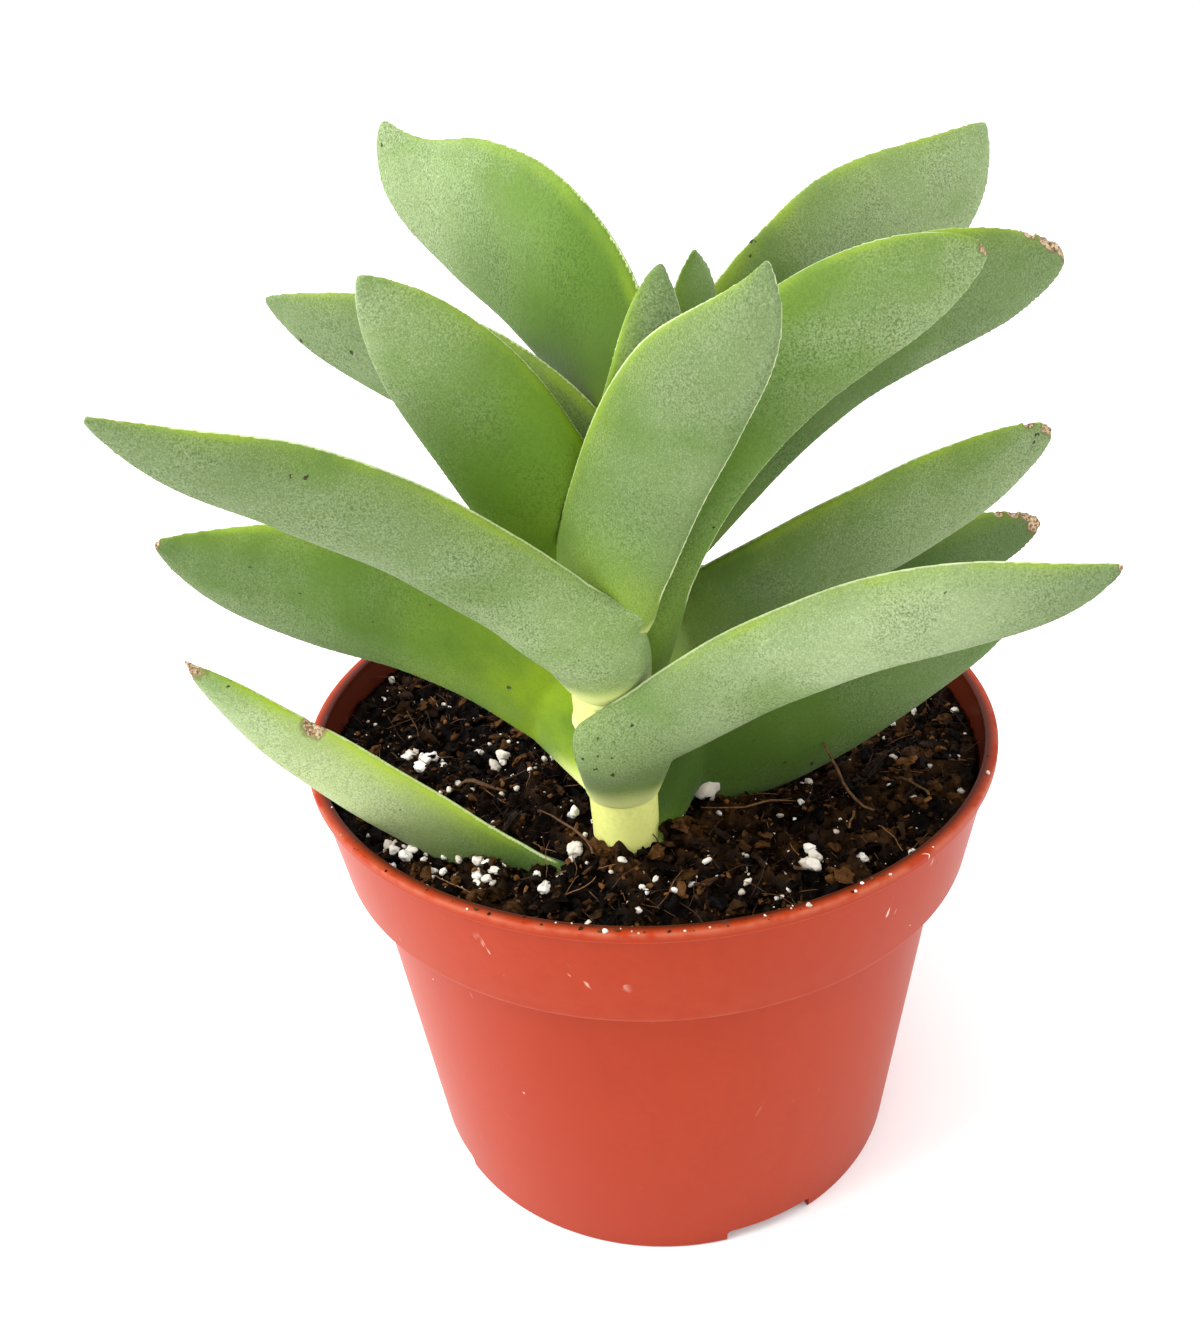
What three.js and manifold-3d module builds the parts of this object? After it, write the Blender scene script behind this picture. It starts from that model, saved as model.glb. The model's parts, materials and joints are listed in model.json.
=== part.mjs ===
// A potted succulent: sickle-shaped leaves in clasping pairs on a short stem,
// standing off-centre in potting mix in a round thin-walled nursery pot.
// Millimetres, +Z up. The pot's axis is x = y = 0 and its foot is z = 0 until
// the last step, which moves the middle of the whole thing's footprint to the origin.
import * as THREE from "three";
import { mergeVertices } from "three/addons/utils/BufferGeometryUtils.js";
import Module from "manifold-3d";

const wasm = await Module();
wasm.setup();

// ---- Driving dimensions ----

// Clearance kept between touching pieces.
const GAP = 0.3;

const POT = {
  rimRadius: 57,
  lipInnerRadius: 54.9,
  height: 82,
  lipHeight: 1.4,
  bandBottomRadius: 53.5,
  bandBottomHeight: 62.7,
  bodyTopRadius: 49.8,
  footRadius: 42.7,
  footWidth: 2.4,
  wall: 1.1,
  recess: 3,
  floor: 1.2,
  segments: 60,
};

// Drain notches through the foot, a quarter turn apart, and round holes in the floor.
const DRAIN = {
  notches: 4,
  firstNotchAngle: -66,
  notchWidth: 16,
  notchHeight: 2.6,
  holeRadius: 4,
  holeCircleRadius: 31,
  centreHoleRadius: 5,
};

const MIX = {
  surface: 77,
  relief: 0.8,
  rings: 8,
  segments: 54,
  grains: 46,
  chips: 24,
  seed: 5,
};

// The stem leans a little, and swells where the leaf bases clasp it.
const STEM = {
  foot: new THREE.Vector3(-4, -29, 77),
  lean: new THREE.Vector2(-1.5, 1),
  leanHeight: 57,
  rooted: 26,
  radius: 5.1,
  collarRadius: 6.6,
  upperRadius: 5.6,
  crownRadius: 4,
  height: 57,
  segments: 28,
};

const LEAF_SHAPE = {
  stations: 20,
  ringPoints: 12,
  axisSteps: 88,
  sectionPower: 2.5,
  tipPower: 2.4,
  tipRoundness: 0.65,
  baseRounding: 0.05,
  thinning: 0.3,
};

// One row for each leaf, oldest first. node: height above the mix where it leaves the
// stem. side: distance of its blade from the stem's axis, to the right of its heading.
// start: distance along the heading at which it starts. heading: degrees from +X, at
// the base and the tip. rise: degrees above level, as four steps of a smooth curve.
// roll: degrees at the base and the tip. base: width at the base, as a share of width.
// widest: where it is widest, as a share of length. hook: how far the tip end is carried
// to the lower edge (or the upper, if positive), as a share of width.
const LEAVES = [
  { name: "leaf_01", node: -7, start: 4, side: -6.5, length: 71, width: 12, thick: 4.2,
    heading: [171, 173], rise: [18, 51, 19, 53], roll: [-6, 3], base: 0.75, widest: 0.45, hook: -0.1 },
  { name: "leaf_02", node: 10, start: 2, side: -6, length: 64, width: 17, thick: 5,
    heading: [10, 15], rise: [-4, 8, 41, 10], roll: [-3, 0], base: 0.85, widest: 0.4, hook: -0.1 },
  { name: "leaf_03", node: 15, start: 0, side: 6, length: 76, width: 21, thick: 5,
    heading: [172, 172], rise: [44, 44, -22, 33], roll: [11, 3], base: 0.95, widest: 0.45, hook: -0.05 },
  { name: "leaf_04", node: 19, start: -5, side: 8, length: 76, width: 14, thick: 5.2,
    heading: [-3, -8], rise: [25, 58, -15, 31], roll: [1, 0], base: 0.8, widest: 0.5, hook: -0.1 },
  { name: "leaf_05", node: 21, start: 2, side: -10, length: 77, width: 15, thick: 4.6,
    heading: [18, 25], rise: [8, 9, 10, 11], roll: [-4, -7], base: 0.7, widest: 0.45, hook: -0.1 },
  { name: "leaf_06", node: 27, start: 1, side: -8, length: 72, width: 16, thick: 4.8,
    heading: [13, 13], rise: [13, 27, 20, 31], roll: [-3, 5], base: 0.75, widest: 0.4, hook: -0.1 },
  { name: "leaf_07", node: 35, start: -3, side: -8, length: 75, width: 15, thick: 5.2,
    heading: [184, 193], rise: [25, 68, 5, 37], roll: [-1, -13], base: 0.9, widest: 0.35, hook: -0.1 },
  { name: "leaf_08", node: 33, start: 4, side: 0, length: 74, width: 16, thick: 5,
    heading: [-2, 6], rise: [88, 66, 27, 22], roll: [-25, -6], base: 0.7, widest: 0.55, hook: -0.1 },
  { name: "leaf_09", node: 41, start: 2, side: -4, length: 83, width: 20, thick: 4.8,
    heading: [21, 22], rise: [42, 69, -15, 17], roll: [-15, -11], base: 0.75, widest: 0.4, hook: -0.1 },
  { name: "leaf_10", node: 41, start: 0, side: 4, length: 70, width: 17, thick: 4.6,
    heading: [159, 156], rise: [100, 21, 6, 24], roll: [0, 0], base: 0.8, widest: 0.4, hook: -0.1 },
  { name: "leaf_11", node: 42, start: -1, side: -2.5, length: 53, width: 18, thick: 5,
    heading: [186, 185], rise: [57, 71, 51, 61], roll: [0, -3], base: 0.8, widest: 0.45, hook: -0.1 },
  { name: "leaf_12", node: 42, start: 0, side: 4, length: 54, width: 18, thick: 5,
    heading: [-32, -32], rise: [58, 89, 32, 75], roll: [-2, 0], base: 0.95, widest: 0.45, hook: -0.15 },
  { name: "leaf_13", node: 50, start: 2, side: -5, length: 88, width: 25, thick: 4.8,
    heading: [42, 34], rise: [12, 57, 8, 40], roll: [6, -25], base: 0.7, widest: 0.5, hook: -0.15 },
  { name: "leaf_14", node: 49, start: 1, side: 5, length: 74, width: 25, thick: 4.8,
    heading: [120, 141], rise: [98, 73, -37, 60], roll: [-4, 10], base: 0.6, widest: 0.4, hook: -0.1 },
  { name: "leaf_15", node: 54, start: 0, side: 2, length: 34, width: 10, thick: 3.6,
    heading: [-7, -4], rise: [65, 61, 86, 73], roll: [-1, -7], base: 0.6, widest: 0.4, hook: 0.15 },
  { name: "leaf_16", node: 54, start: 1, side: -1, length: 38, width: 12, thick: 3.2,
    heading: [46, 41], rise: [38, 38, 52, 90], roll: [3, -3], base: 0.6, widest: 0.45, hook: 0.15 },
];

// Where two leaf bases would cross at the stem, the one named first here keeps its shape.
const LEAVES_OUTERMOST_FIRST = [
  "leaf_04", "leaf_07", "leaf_12", "leaf_11", "leaf_08", "leaf_09", "leaf_15", "leaf_13",
  "leaf_14", "leaf_10", "leaf_06", "leaf_16", "leaf_03", "leaf_01", "leaf_02", "leaf_05",
];

const material = (color, roughness) =>
  new THREE.MeshStandardMaterial({ color, roughness, metalness: 0 });

const MATERIALS = {
  pot: material(0xc1432a, 0.42),
  mix: material(0x2e2019, 0.95),
  stem: material(0xb9c98a, 0.6),
  leaf: material(0x87a678, 0.62),
};

// ---- Helpers ----

const radians = THREE.MathUtils.degToRad;
const mix = THREE.MathUtils.lerp;

// A repeatable source of numbers from 0 to 1.
function randomSource(seed) {
  let state = seed;
  return () => {
    state = (state + 0x6d2b79f5) | 0;
    let value = Math.imul(state ^ (state >>> 15), 1 | state);
    value = (value + Math.imul(value ^ (value >>> 7), 61 | value)) ^ value;
    return ((value ^ (value >>> 14)) >>> 0) / 4294967296;
  };
}

function withMergedPoints(geometry) {
  geometry.deleteAttribute("normal");
  geometry.deleteAttribute("uv");
  return mergeVertices(geometry, 1e-4);
}

function solidOf(geometry) {
  const merged = withMergedPoints(geometry);
  const mesh = new wasm.Mesh({
    numProp: 3,
    vertProperties: new Float32Array(merged.attributes.position.array),
    triVerts: new Uint32Array(merged.index.array),
  });
  return new wasm.Manifold(mesh);
}

function geometryOf(solid) {
  const mesh = solid.getMesh();
  const geometry = new THREE.BufferGeometry();
  geometry.setAttribute("position", new THREE.BufferAttribute(mesh.vertProperties, 3));
  geometry.setIndex(new THREE.BufferAttribute(mesh.triVerts, 1));
  geometry.computeVertexNormals();
  return geometry;
}

function largestBody(solid) {
  const bodies = solid.decompose();
  return bodies.reduce((best, body) => (body.volume() > best.volume() ? body : best));
}

function namedMesh(name, solid, finish) {
  const mesh = new THREE.Mesh(geometryOf(solid), finish);
  mesh.name = name;
  return mesh;
}

// A profile of [radius, height] points, turned about the Z axis.
function turned(profile, segments) {
  const points = profile.map(([radius, height]) => new THREE.Vector2(radius, height));
  return new THREE.LatheGeometry(points, segments).rotateX(Math.PI / 2);
}

// ---- Pot ----

const bodyOuterRadius = (height) =>
  mix(POT.footRadius, POT.bodyTopRadius, height / POT.bandBottomHeight);

// The inner face of the pot's wall, from the floor up to the lip.
function innerWallProfile(clearance) {
  const floorTop = POT.recess + POT.floor;
  const stepTop = POT.bandBottomHeight + POT.wall;
  const inset = POT.wall + clearance;
  return [
    [bodyOuterRadius(floorTop) - inset, floorTop + clearance],
    [bodyOuterRadius(stepTop) - inset, stepTop + clearance],
    [POT.bandBottomRadius - inset, stepTop + 1 + clearance],
    [POT.lipInnerRadius - clearance, POT.height - POT.lipHeight],
  ];
}

function potSolid() {
  const lipBottom = POT.height - POT.lipHeight;
  const footInner = POT.footRadius - POT.footWidth;
  const wallRunsInward = innerWallProfile(0).reverse();
  const profile = [
    [0, POT.recess],
    [footInner - 0.6, POT.recess],
    [footInner, POT.recess - 0.6],
    [footInner, 0],
    [POT.footRadius, 0],
    [bodyOuterRadius(POT.bandBottomHeight - 1.6), POT.bandBottomHeight - 1.6],
    [POT.bodyTopRadius + 0.5, POT.bandBottomHeight - 0.8],
    [POT.bandBottomRadius - 0.6, POT.bandBottomHeight - 0.3],
    [POT.bandBottomRadius, POT.bandBottomHeight + 0.4],
    [POT.rimRadius - 0.8, lipBottom - 0.6],
    [POT.rimRadius, lipBottom],
    [POT.rimRadius, POT.height - 0.4],
    [POT.rimRadius - 0.4, POT.height],
    [POT.lipInnerRadius + 0.3, POT.height],
    [POT.lipInnerRadius, POT.height - 0.3],
    ...wallRunsInward,
    [0, POT.recess + POT.floor],
  ];
  let pot = solidOf(turned(profile, POT.segments));
  const roundHole = (radius) =>
    new THREE.CylinderGeometry(radius, radius, 4 * POT.floor, 20)
      .rotateX(Math.PI / 2)
      .translate(0, 0, POT.recess + POT.floor / 2);
  pot = pot.subtract(solidOf(roundHole(DRAIN.centreHoleRadius)));
  for (let i = 0; i < DRAIN.notches; i += 1) {
    const turn = radians(DRAIN.firstNotchAngle) + (i * 2 * Math.PI) / DRAIN.notches;
    const notch = new THREE.BoxGeometry(3 * POT.footWidth, DRAIN.notchWidth, 2 * DRAIN.notchHeight)
      .translate(POT.footRadius, 0, 0)
      .rotateZ(turn);
    const hole = roundHole(DRAIN.holeRadius).translate(DRAIN.holeCircleRadius, 0, 0).rotateZ(turn);
    pot = pot.subtract(solidOf(notch)).subtract(solidOf(hole));
  }
  return pot;
}

// ---- Potting mix ----

// A small crumb, set at a random turn with most of its lower half in the mix.
function crumb(shape, size, random) {
  const reach = POT.lipInnerRadius - 6;
  const distance = reach * Math.sqrt(random());
  const angle = 2 * Math.PI * random();
  return shape
    .scale(size, size * mix(0.6, 1, random()), size * mix(0.6, 0.9, random()))
    .rotateX(mix(-0.5, 0.5, random()))
    .rotateZ(2 * Math.PI * random())
    .translate(distance * Math.cos(angle), distance * Math.sin(angle), MIX.surface + 0.15 * size);
}

function mixSolid() {
  const random = randomSource(MIX.seed);
  const [floorEdge, stepEdge, bandEdge] = innerWallProfile(GAP);
  const topRadius = POT.lipInnerRadius - POT.wall - 1.4;
  const profile = [[0, floorEdge[1]], floorEdge, stepEdge, bandEdge, [topRadius, MIX.surface - 1]];
  for (let ring = MIX.rings - 1; ring >= 0; ring -= 1) {
    profile.push([(topRadius * ring) / MIX.rings, MIX.surface]);
  }
  const body = withMergedPoints(turned(profile, MIX.segments));
  const points = body.attributes.position;
  for (let i = 0; i < points.count; i += 1) {
    if (points.getZ(i) < MIX.surface - 0.01) continue;
    points.setZ(i, MIX.surface + MIX.relief * (2 * random() - 1));
  }
  let solid = solidOf(body);
  for (let i = 0; i < MIX.grains; i += 1) {
    const size = mix(0.7, 1.7, random() ** 2);
    solid = solid.add(solidOf(crumb(new THREE.IcosahedronGeometry(1, 0), size, random)));
  }
  for (let i = 0; i < MIX.chips; i += 1) {
    const chip = new THREE.BoxGeometry(5, 1.3, 1.1);
    solid = solid.add(solidOf(crumb(chip, mix(0.7, 1.4, random()), random)));
  }
  return largestBody(solid);
}

// ---- Stem ----

// The stem's axis at a height above the mix, in the plant's own frame.
function stemAxis(height) {
  const share = height / STEM.leanHeight;
  return new THREE.Vector3(STEM.lean.x * share, STEM.lean.y * share, height);
}

function stemSolid(grow) {
  const profile = [
    [0, -STEM.rooted - grow],
    [STEM.radius - 1.6 + grow, -STEM.rooted - grow],
    [STEM.radius + grow, -STEM.rooted + 8],
    [STEM.radius + grow, 7],
    [STEM.collarRadius + grow, 9.5],
    [STEM.collarRadius - 0.4 + grow, 20],
    [STEM.collarRadius - 0.4 + grow, 26],
    [STEM.collarRadius + grow, 30],
    [STEM.upperRadius + grow, 40],
    [STEM.crownRadius + grow, 50],
    [STEM.crownRadius - 2 + grow, STEM.height - 1],
    [0, STEM.height + grow],
  ];
  const shear = new THREE.Matrix4().makeShear(
    0, 0, 0, 0, STEM.lean.x / STEM.leanHeight, STEM.lean.y / STEM.leanHeight,
  );
  return solidOf(turned(profile, STEM.segments).applyMatrix4(shear));
}

// ---- Leaves ----

// A smooth curve through four steps, as a cubic Bezier curve has.
function smoothSteps([a, b, c, d], t) {
  const s = 1 - t;
  return s * s * s * a + 3 * s * s * t * b + 3 * s * t * t * c + t * t * t * d;
}

// The directions along the leaf, across its blade and out of its face, at a share t of its length.
function leafDirections(leaf, t) {
  const heading = radians(mix(...leaf.heading, t));
  const rise = radians(smoothSteps(leaf.rise, t));
  const roll = radians(mix(...leaf.roll, t));
  const level = Math.cos(rise);
  const along = new THREE.Vector3(
    level * Math.cos(heading), level * Math.sin(heading), Math.sin(rise),
  );
  const right = new THREE.Vector3(Math.sin(heading), -Math.cos(heading), 0);
  const up = new THREE.Vector3().crossVectors(right, along);
  const across = up.clone().multiplyScalar(Math.cos(roll)).addScaledVector(right, Math.sin(roll));
  const out = right.clone().multiplyScalar(Math.cos(roll)).addScaledVector(up, -Math.sin(roll));
  return { along, across, out };
}

// Half the leaf's width and half its thickness, at a share t of its length.
function leafHalfSizes(leaf, t) {
  const toTip = Math.max(0, (t - leaf.widest) / (1 - leaf.widest));
  const toWidest = Math.min(1, t / leaf.widest);
  const swell = mix(leaf.base, 1, Math.sin((Math.PI / 2) * toWidest));
  const taper = (1 - toTip ** LEAF_SHAPE.tipPower) ** LEAF_SHAPE.tipRoundness;
  const nearBase = Math.max(0, 1 - t / LEAF_SHAPE.baseRounding);
  const rounding = Math.sqrt(1 - 0.9 * nearBase * nearBase);
  const flesh = (1 - LEAF_SHAPE.thinning * t) * Math.max(0.3, 1 - toTip ** 4);
  return {
    halfWidth: (leaf.width / 2) * swell * taper * rounding,
    halfThickness: (leaf.thick / 2) * flesh * Math.sqrt(1 - 0.6 * nearBase * nearBase),
    carried: leaf.hook * leaf.width * toTip * toTip,
  };
}

// Points down the middle of the leaf, from base to tip.
function leafMiddle(leaf) {
  const { along, out } = leafDirections({ ...leaf, rise: [0, 0, 0, 0], roll: [0, 0] }, 0);
  const place = stemAxis(leaf.node).addScaledVector(along, leaf.start).addScaledVector(out, leaf.side);
  const steps = LEAF_SHAPE.axisSteps;
  const points = [place.clone()];
  for (let i = 0; i < steps; i += 1) {
    const direction = leafDirections(leaf, (i + 0.5) / steps).along;
    place.addScaledVector(direction, leaf.length / steps);
    points.push(place.clone());
  }
  return points;
}

// Stations lie closer together near the base and the tip.
function stationStep(station) {
  const s = station / LEAF_SHAPE.stations;
  const eased = mix(s, s * s * (3 - 2 * s), 0.8);
  return Math.round(eased * LEAF_SHAPE.axisSteps);
}

// One ring of points round the leaf's section, with rounded edges.
function leafRing(leaf, middle, t, grow) {
  const { across, out } = leafDirections(leaf, t);
  const { halfWidth, halfThickness, carried } = leafHalfSizes(leaf, t);
  const power = 2 / LEAF_SHAPE.sectionPower;
  const rounded = (value) => Math.sign(value) * Math.abs(value) ** power;
  const ring = [];
  for (let i = 0; i < LEAF_SHAPE.ringPoints; i += 1) {
    const angle = (2 * Math.PI * i) / LEAF_SHAPE.ringPoints;
    const width = carried + rounded(Math.cos(angle)) * (halfWidth + grow);
    const depth = rounded(Math.sin(angle)) * (halfThickness + grow);
    ring.push(middle.clone().addScaledVector(across, width).addScaledVector(out, depth));
  }
  return ring;
}

function leafSolid(leaf, grow) {
  const middle = leafMiddle(leaf);
  const steps = LEAF_SHAPE.axisSteps;
  const rings = [];
  for (let station = 0; station < LEAF_SHAPE.stations; station += 1) {
    const step = stationStep(station);
    rings.push(leafRing(leaf, middle[step], step / steps, grow));
  }
  const base = middle[0].clone().addScaledVector(leafDirections(leaf, 0).along, -0.4 - grow);
  const tip = middle[steps].clone().addScaledVector(leafDirections(leaf, 1).along, grow);
  tip.addScaledVector(leafDirections(leaf, 1).across, leaf.hook * leaf.width);
  const around = LEAF_SHAPE.ringPoints;
  const points = [...rings.flat(), base, tip];
  const baseIndex = points.length - 2;
  const tipIndex = points.length - 1;
  const lastRing = (rings.length - 1) * around;
  const index = [];
  for (let i = 0; i < around; i += 1) {
    const next = (i + 1) % around;
    for (let ring = 0; ring < rings.length - 1; ring += 1) {
      const a = ring * around;
      const b = a + around;
      index.push(a + i, a + next, b + next, a + i, b + next, b + i);
    }
    index.push(baseIndex, next, i, tipIndex, lastRing + i, lastRing + next);
  }
  const geometry = new THREE.BufferGeometry().setFromPoints(points);
  geometry.setIndex(index);
  return solidOf(geometry);
}

// Each leaf stops just short of the stem and of the leaves that lie outside it.
function leafSolids() {
  const stemRoom = stemSolid(GAP);
  const done = new Map();
  const rooms = [];
  for (const name of LEAVES_OUTERMOST_FIRST) {
    const leaf = LEAVES.find((row) => row.name === name);
    let solid = leafSolid(leaf, 0).subtract(stemRoom);
    for (const room of rooms) solid = solid.subtract(room);
    done.set(name, largestBody(solid));
    rooms.push(leafSolid(leaf, GAP));
  }
  return done;
}

// ---- Assembly ----

function buildPlant(leaves) {
  const plant = new THREE.Group();
  plant.position.copy(STEM.foot);
  plant.add(namedMesh("stem", stemSolid(0), MATERIALS.stem));
  for (const { name } of LEAVES) plant.add(namedMesh(name, leaves.get(name), MATERIALS.leaf));
  return plant;
}

// The mix with a plain hole for the stem and room for the two leaves that touch it.
function mixRoundPlant() {
  const foot = STEM.foot.toArray();
  let solid = mixSolid().subtract(stemSolid(GAP).translate(foot));
  for (const leaf of LEAVES.slice(0, 2)) {
    solid = solid.subtract(leafSolid(leaf, GAP).translate(foot));
  }
  return largestBody(solid);
}

function buildPart() {
  const pot = namedMesh("pot", potSolid(), MATERIALS.pot);
  const pottingMix = namedMesh("potting_mix", mixRoundPlant(), MATERIALS.mix);
  const placed = new THREE.Group();
  placed.add(pot, pottingMix, buildPlant(leafSolids()));
  const part = new THREE.Group();
  part.add(placed);
  part.updateMatrixWorld(true);
  const box = new THREE.Box3().setFromObject(part, true);
  const middle = box.getCenter(new THREE.Vector3());
  placed.position.set(-middle.x, -middle.y, -box.min.z);
  return part;
}

const part = buildPart();

export default part;
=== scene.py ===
"""A potted succulent: nursery pot, potting mix, stem and sixteen sickle-shaped leaves.

The classes hold their sizes in millimetres, measured from the pot's axis at the level of
its foot, or from the stem's foot where a class says so. MM turns them into metres. Every
finish reads Object coordinates, or attributes that are painted on the piece.
"""

import json
import logging
import math
import random
from contextlib import contextmanager
from dataclasses import dataclass, replace
from enum import Enum
from functools import cache
from typing import Callable, Iterator, Sequence

import bmesh
import bpy
import numpy as np
from mathutils import Euler, Matrix, Vector, kdtree, noise
from mathutils.bvhtree import BVHTree

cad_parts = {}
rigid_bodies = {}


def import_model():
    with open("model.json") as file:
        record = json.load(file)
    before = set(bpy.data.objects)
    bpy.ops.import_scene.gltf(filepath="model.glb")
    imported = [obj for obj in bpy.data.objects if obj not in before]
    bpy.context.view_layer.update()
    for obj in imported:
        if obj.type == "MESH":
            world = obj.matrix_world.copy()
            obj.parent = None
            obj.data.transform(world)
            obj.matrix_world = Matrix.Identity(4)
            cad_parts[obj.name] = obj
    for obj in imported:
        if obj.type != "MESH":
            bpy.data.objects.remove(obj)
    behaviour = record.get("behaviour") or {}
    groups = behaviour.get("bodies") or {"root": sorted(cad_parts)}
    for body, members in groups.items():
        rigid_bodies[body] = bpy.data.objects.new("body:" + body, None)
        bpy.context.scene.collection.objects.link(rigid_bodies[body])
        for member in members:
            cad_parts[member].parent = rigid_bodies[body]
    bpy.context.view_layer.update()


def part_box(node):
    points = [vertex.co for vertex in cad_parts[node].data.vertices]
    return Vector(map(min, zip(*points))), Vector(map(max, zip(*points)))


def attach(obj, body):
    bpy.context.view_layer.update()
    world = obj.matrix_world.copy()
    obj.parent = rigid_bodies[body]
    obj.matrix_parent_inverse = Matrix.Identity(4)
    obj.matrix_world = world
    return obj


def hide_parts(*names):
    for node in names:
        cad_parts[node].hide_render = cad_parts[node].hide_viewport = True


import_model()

log = logging.getLogger("potted_succulent")

MM = 0.001
ROOT_BODY = "root"
Triple = tuple[float, float, float]
Colour = tuple[float, float, float, float]
Feed = bpy.types.NodeSocket | float | Triple | Colour | None
Dent = tuple[float, float, int]


def pot_axis() -> Vector:
    """Where the pot's axis meets the floor, in metres."""
    low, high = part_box("pot")
    return Vector(((low.x + high.x) / 2, (low.y + high.y) / 2, 0.0))


POT_AXIS = pot_axis()


# ---- Workbench ----


def at(x: float, y: float, z: float) -> Vector:
    """A place in metres, from its millimetres to the pot's axis and foot."""
    return POT_AXIS + Vector((x, y, z)) * MM


def take_up(*objects: bpy.types.Object) -> None:
    """Selects these objects alone and makes the first the active one."""
    bpy.ops.object.select_all(action="DESELECT")
    for obj in objects:
        obj.select_set(True)
    if objects:
        bpy.context.view_layer.objects.active = objects[0]


def fresh(operator: Callable[..., object], name: str, **settings: object) -> bpy.types.Object:
    """Runs an operator that adds an object, and names what it added.

    Args:
        operator: The operator.
        name: The new object's name.
        settings: The operator's settings.

    Returns:
        The new object.
    """
    take_up()
    operator(**settings)
    bpy.context.object.name = name
    return bpy.context.object


def duplicate(obj: bpy.types.Object, name: str) -> bpy.types.Object:
    """Copies an object together with its mesh."""
    twin = obj.copy()
    twin.data = obj.data.copy()
    twin.name = name
    bpy.context.scene.collection.objects.link(twin)
    return twin


@contextmanager
def editing(obj: bpy.types.Object) -> Iterator[None]:
    """Opens a mesh in edit mode and closes it again."""
    take_up(obj)
    bpy.ops.object.mode_set(mode="EDIT")
    try:
        yield
    finally:
        bpy.ops.object.mode_set(mode="OBJECT")


def pick(obj: bpy.types.Object, wanted: Callable[[Vector], bool]) -> None:
    """Selects the vertices, and what they bound, that lie where they are wanted.

    Args:
        obj: The mesh that is being edited.
        wanted: Tells from a vertex's place in the world whether it is selected.
    """
    mesh = bmesh.from_edit_mesh(obj.data)
    bpy.ops.mesh.select_all(action="DESELECT")
    for vertex in mesh.verts:
        vertex.select = wanted(obj.matrix_world @ vertex.co)
    mesh.select_flush(True)
    bmesh.update_edit_mesh(obj.data)


def apply_modifier(obj: bpy.types.Object, kind: str, **settings: object) -> None:
    """Adds one modifier with its settings and applies it to the mesh."""
    take_up(obj)
    modifier = obj.modifiers.new(kind.title(), kind)
    for name, value in settings.items():
        setattr(modifier, name, value)
    bpy.ops.object.modifier_apply(modifier=modifier.name)


def roughen(obj: bpy.types.Object, wide: float, deep: float, **settings: object) -> None:
    """Pushes a surface in and out in soft lumps.

    Args:
        obj: The mesh, which is changed.
        wide: How wide the lumps are, in millimetres.
        deep: How deep they are, in millimetres.
        settings: Further settings of the modifier.
    """
    texture = bpy.data.textures.new(obj.name, "CLOUDS")
    texture.noise_scale = wide * MM
    apply_modifier(
        obj, "DISPLACE", texture=texture, strength=deep * MM, texture_coords="LOCAL", **settings
    )


def smooth(obj: bpy.types.Object) -> bpy.types.Object:
    """Shades an object smooth and gives it back."""
    take_up(obj)
    bpy.ops.object.shade_smooth()
    return obj


def settle(obj: bpy.types.Object) -> None:
    """Moves an object's place, turn and scale into its mesh."""
    take_up(obj)
    bpy.ops.object.transform_apply(location=True, rotation=True, scale=True)


def join(name: str, objects: Sequence[bpy.types.Object]) -> bpy.types.Object:
    """Joins objects into the first of them, and names it."""
    take_up(*objects)
    bpy.ops.object.join()
    objects[0].name = name
    return objects[0]


def hand_over(
    obj: bpy.types.Object, finish: bpy.types.Material, stands_for: Sequence[str] = ()
) -> None:
    """Dresses a finished piece, hangs it on the root body and hides the frame's parts that it replaces.

    Args:
        obj: The finished piece.
        finish: The material that covers it.
        stands_for: The frame's nodes that it replaces.
    """
    settle(obj)
    obj.data.materials.clear()
    obj.data.materials.append(finish)
    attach(obj, ROOT_BODY)
    if stands_for:
        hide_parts(*stands_for)
    log.info("%s: %d faces in %s", obj.name, len(obj.data.polygons), finish.name)


def paint(obj: bpy.types.Object, name: str, values: np.ndarray) -> None:
    """Writes one number for each vertex as a named attribute."""
    layer = obj.data.attributes.get(name) or obj.data.attributes.new(name, "FLOAT", "POINT")
    layer.data.foreach_set("value", np.ascontiguousarray(values, dtype=np.float32))


def vertex_rows(obj: bpy.types.Object, what: str = "co") -> np.ndarray:
    """The places of a mesh's vertices in metres, or their normals, one row each."""
    rows = np.empty(len(obj.data.vertices) * 3)
    obj.data.vertices.foreach_get(what, rows)
    return rows.reshape(-1, 3)


def in_mm(obj: bpy.types.Object) -> np.ndarray:
    """The places of a mesh's vertices in millimetres, from the pot's axis and foot."""
    return (vertex_rows(obj) - np.array(POT_AXIS)) / MM


def place_vertices(obj: bpy.types.Object, places: np.ndarray) -> None:
    """Moves a mesh's vertices to these places."""
    obj.data.vertices.foreach_set("co", places.ravel())
    obj.data.update()


def surface_of(obj: bpy.types.Object) -> BVHTree:
    """A mesh's surface as it is now, to look up places on it."""
    corners = [vertex.co for vertex in obj.data.vertices]
    return BVHTree.FromPolygons(corners, [face.vertices for face in obj.data.polygons])


def smooth_ramp(values: np.ndarray, low: float, high: float) -> np.ndarray:
    """Rises softly from 0 at low to 1 at high."""
    share = np.clip((values - low) / (high - low), 0.0, 1.0)
    return share * share * (3.0 - 2.0 * share)


class Ends(Enum):
    """How the two ends of a run of rings are closed."""

    CAPPED = "each end has its own face"
    JOINED = "the last ring is bridged to the first"


@dataclass(frozen=True)
class Ring:
    """A level ring: its radius, its height and how far its centre lies aside."""

    radius: float
    height: float
    aside: tuple[float, float] = (0.0, 0.0)

    def centre(self, foot: Vector) -> Vector:
        """The ring's centre in metres, from the foot that its height is counted from."""
        return foot + Vector((self.aside[0], self.aside[1], self.height)) * MM


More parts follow.
